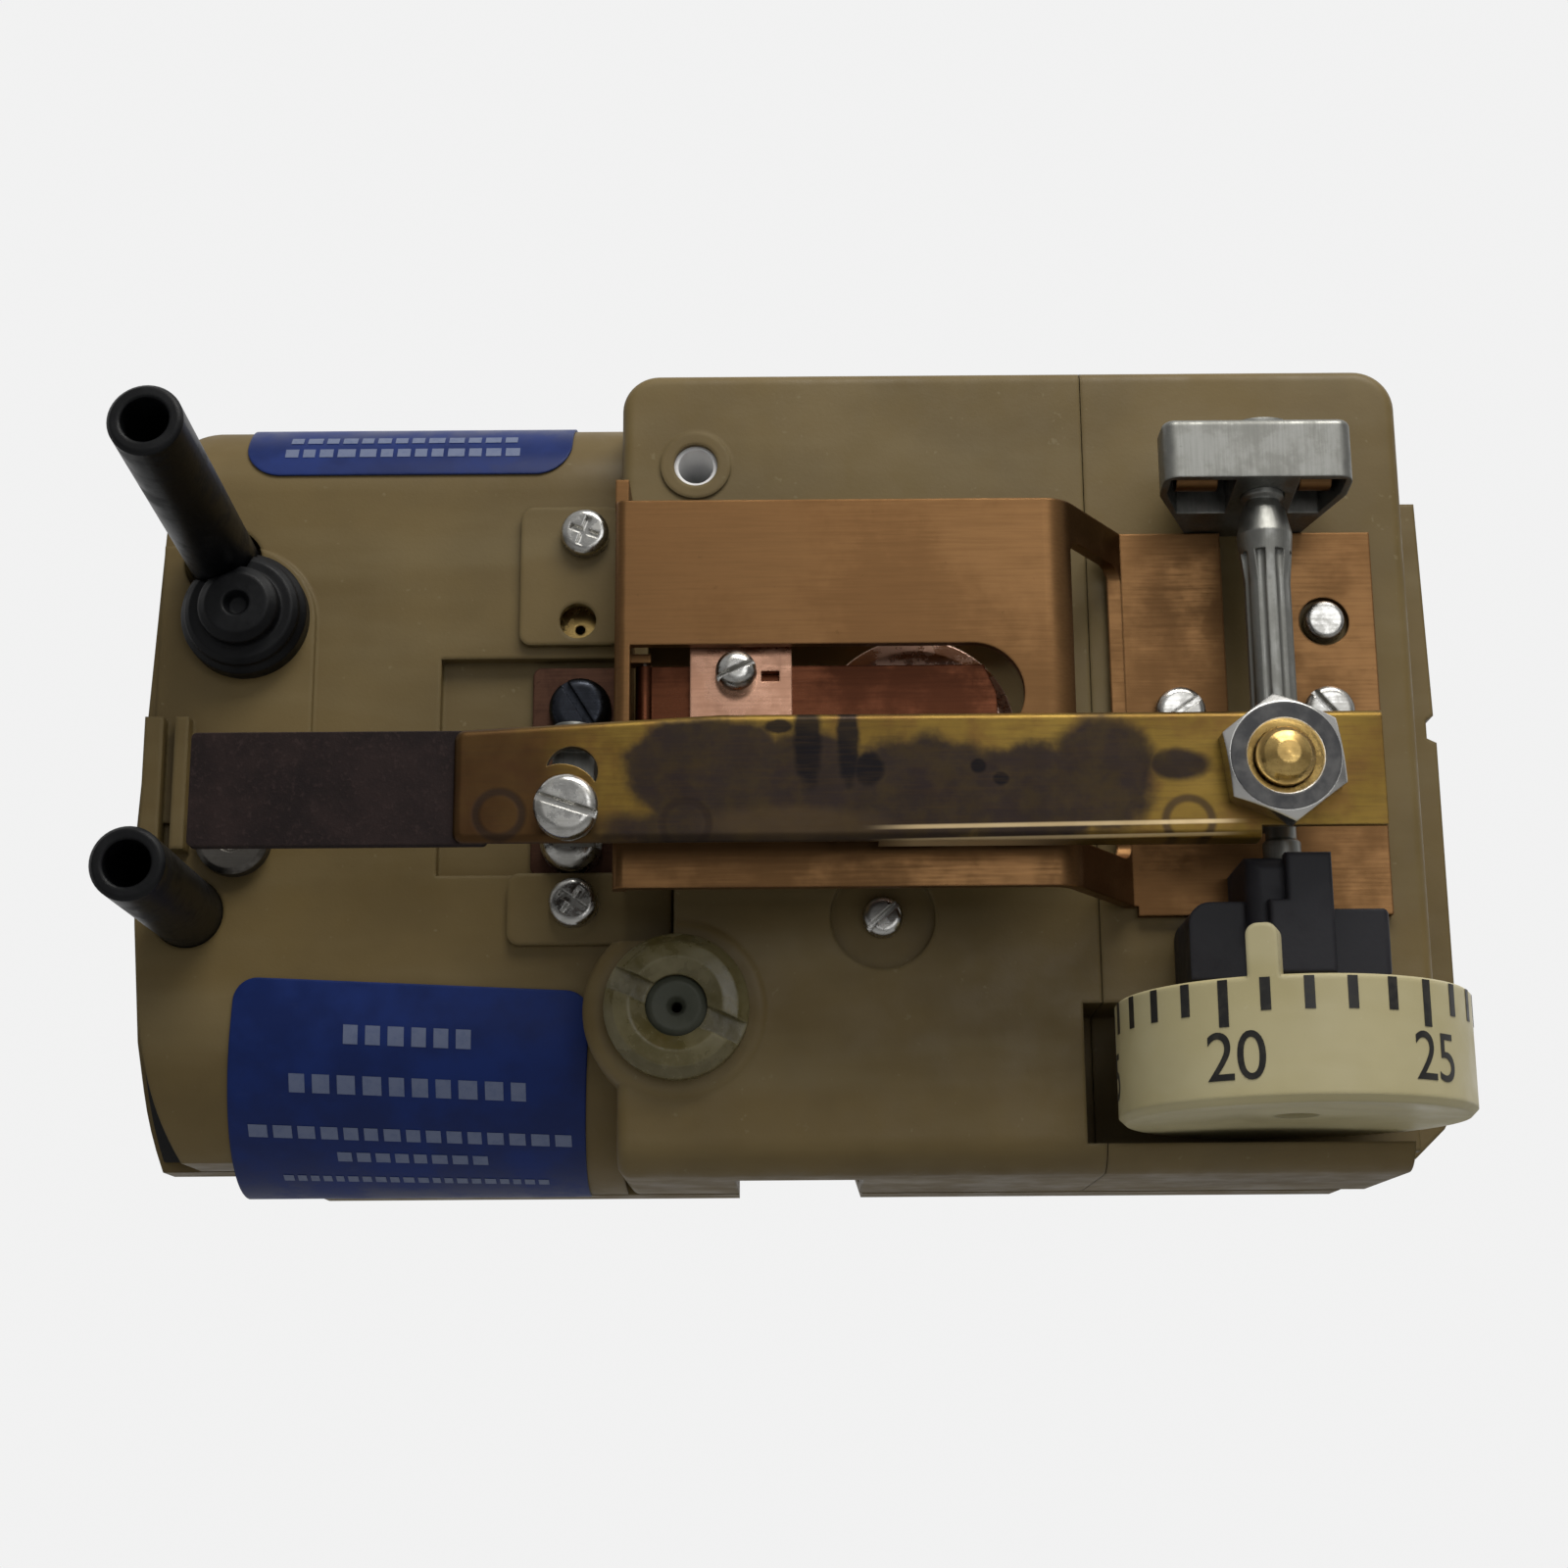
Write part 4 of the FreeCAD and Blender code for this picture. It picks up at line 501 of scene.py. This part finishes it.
def print_rows(name, rows, lean, origin, bend_up, front, round_radius, sign):
    """Rows of plain dashes on a foil. Each row is (distance down the foil, height, list of widths)."""
    columns, levels, gap_share, lift = 4, 4, 0.4, 0.17 * MM
    mesh = bmesh.new()
    for along, tall, widths in rows:
        gap = tall * gap_share
        start = origin - (sum(widths) + gap * (len(widths) - 1)) / 2
        for width in widths:
            grid = []
            for j in range(levels + 1):
                down = along + tall * j / levels
                line = []
                for i in range(columns + 1):
                    across = start + width * i / columns
                    spot = foil_point(across, down + (across - origin) * lean, lift, bend_up, front,
                                      round_radius, sign)
                    line.append(mesh.verts.new(spot))
                grid.append(line)
            for j in range(levels):
                for i in range(columns):
                    mesh.faces.new((grid[j][i], grid[j][i + 1], grid[j + 1][i + 1], grid[j + 1][i]))
            start += width + gap
    bmesh.ops.recalc_face_normals(mesh, faces=mesh.faces)
    data = bpy.data.meshes.new(name)
    mesh.to_mesh(data)
    mesh.free()
    piece = finish_piece(data, name, PRINT, "case")
    thick = piece.modifiers.new("print", "SOLIDIFY")
    thick.thickness = 0.015 * MM
    thick.offset = 0
    return piece


def dashes(count, low, high):
    """Widths of a row of dashes, drawn between low and high millimetres."""
    return [random.uniform(low, high) * MM for _ in range(count)]


dial_marks()
print_rows("front_label_print", [
    (0.3 * MM, 1.1 * MM, dashes(6, 0.75, 0.95)),
    (3.2 * MM, 1.1 * MM, dashes(10, 0.85, 1.15)),
    (6.4 * MM, 0.85 * MM, dashes(15, 0.8, 1.1)),
    (8.2 * MM, 0.75 * MM, dashes(8, 0.7, 0.9)),
    (10.4 * MM, 0.6 * MM, dashes(20, 0.45, 0.65)),
], lean=0.049, origin=-22.5 * MM, bend_up=-14.85 * MM, front=13.0 * MM, round_radius=9.2 * MM, sign=1)
print_rows("top_label_print", [
    (2.3 * MM, 0.7 * MM, dashes(13, 0.7, 1.1)),
    (3.6 * MM, 0.65 * MM, dashes(13, 0.7, 1.0)),
], lean=0.0, origin=-23.9 * MM, bend_up=17.9 * MM, front=13.0 * MM, round_radius=5.5 * MM, sign=-1)


# ---- stage, light and camera ----


def floor():
    """A wide pale disc below the object."""
    radius, drop = 2.6, 0.32
    mesh = bmesh.new()
    bmesh.ops.create_circle(mesh, cap_ends=True, segments=96, radius=radius)
    data = bpy.data.meshes.new("floor")
    mesh.to_mesh(data)
    mesh.free()
    plane = bpy.data.objects.new("floor", data)
    plane.location.z = -drop
    scene.collection.objects.link(plane)
    graph = Graph("pale_floor")
    graph.set(color=graph.mix(graph.ramp(graph.noise(60), 0.3, 0.7), (0.50, 0.50, 0.50), (0.53, 0.53, 0.53)),
              rough=0.8)
    data.materials.append(graph.material)


def smooth_range(tree, low, high):
    """A smooth map of a direction's part between low and high."""
    node = tree.nodes.new("ShaderNodeMapRange")
    node.interpolation_type = "SMOOTHSTEP"
    node.inputs["From Min"].default_value = low
    node.inputs["From Max"].default_value = high
    return node


def world():
    """Pale surroundings: brightest behind the case, dimmer on the viewer's side and dimmest below."""
    sky = bpy.data.worlds.new("studio")
    sky.use_nodes = True
    scene.world = sky
    tree = sky.node_tree
    background = tree.nodes["Background"]
    coordinates = tree.nodes.new("ShaderNodeTexCoord")
    split = tree.nodes.new("ShaderNodeSeparateXYZ")
    depth = smooth_range(tree, -0.15, 0.55)
    depth.inputs["To Max"].default_value = 0.885
    height = smooth_range(tree, -0.35, 0.7)
    height.inputs["To Min"].default_value = 0.07
    height.inputs["To Max"].default_value = 0.38
    tree.links.new(coordinates.outputs["Generated"], split.inputs[0])
    tree.links.new(split.outputs["Z"], height.inputs["Value"])
    tree.links.new(height.outputs[0], depth.inputs["To Min"])
    tree.links.new(split.outputs["Y"], depth.inputs["Value"])
    tree.links.new(depth.outputs[0], background.inputs["Strength"])
    background.inputs["Color"].default_value = (1, 1, 1, 1)


def area_light(name, place, aim, size, power, tint):
    """A soft rectangular lamp that the camera doesn't see."""
    data = bpy.data.lights.new(name, "AREA")
    data.shape = "RECTANGLE"
    data.size, data.size_y = size
    data.energy = power
    data.color = tint
    lamp = bpy.data.objects.new(name, data)
    lamp.location = place
    lamp.rotation_euler = (Vector(aim) - Vector(place)).to_track_quat("-Z", "Y").to_euler()
    lamp.visible_camera = False
    scene.collection.objects.link(lamp)


def camera():
    """The viewing camera, below the middle of the case and tilted up."""
    place = Vector((-0.58, -157.0, -36.41)) * MM
    data = bpy.data.cameras.new("view")
    data.sensor_width = 36.0
    data.lens = 57.4
    data.clip_start = 0.01
    eye = bpy.data.objects.new("view", data)
    tilt, roll = math.radians(13.9), math.radians(0.4)
    turn = Matrix.Rotation(math.radians(90) + tilt, 4, "X") @ Matrix.Rotation(-roll, 4, "Z")
    eye.matrix_world = Matrix.Translation(place) @ turn
    scene.collection.objects.link(eye)
    scene.camera = eye


floor()
world()
area_light("key", place=(0.045, -0.125, 0.165), aim=(0.004, -0.015, 0.012), size=(0.15, 0.09), power=0.31,
           tint=(1.0, 0.98, 0.94))
area_light("fill", place=(0.15, -0.60, 0.10), aim=(0, 0, 0), size=(0.3, 0.3), power=0.5,
           tint=(0.97, 0.98, 1.0))
camera()
scene.view_settings.view_transform = "Standard"
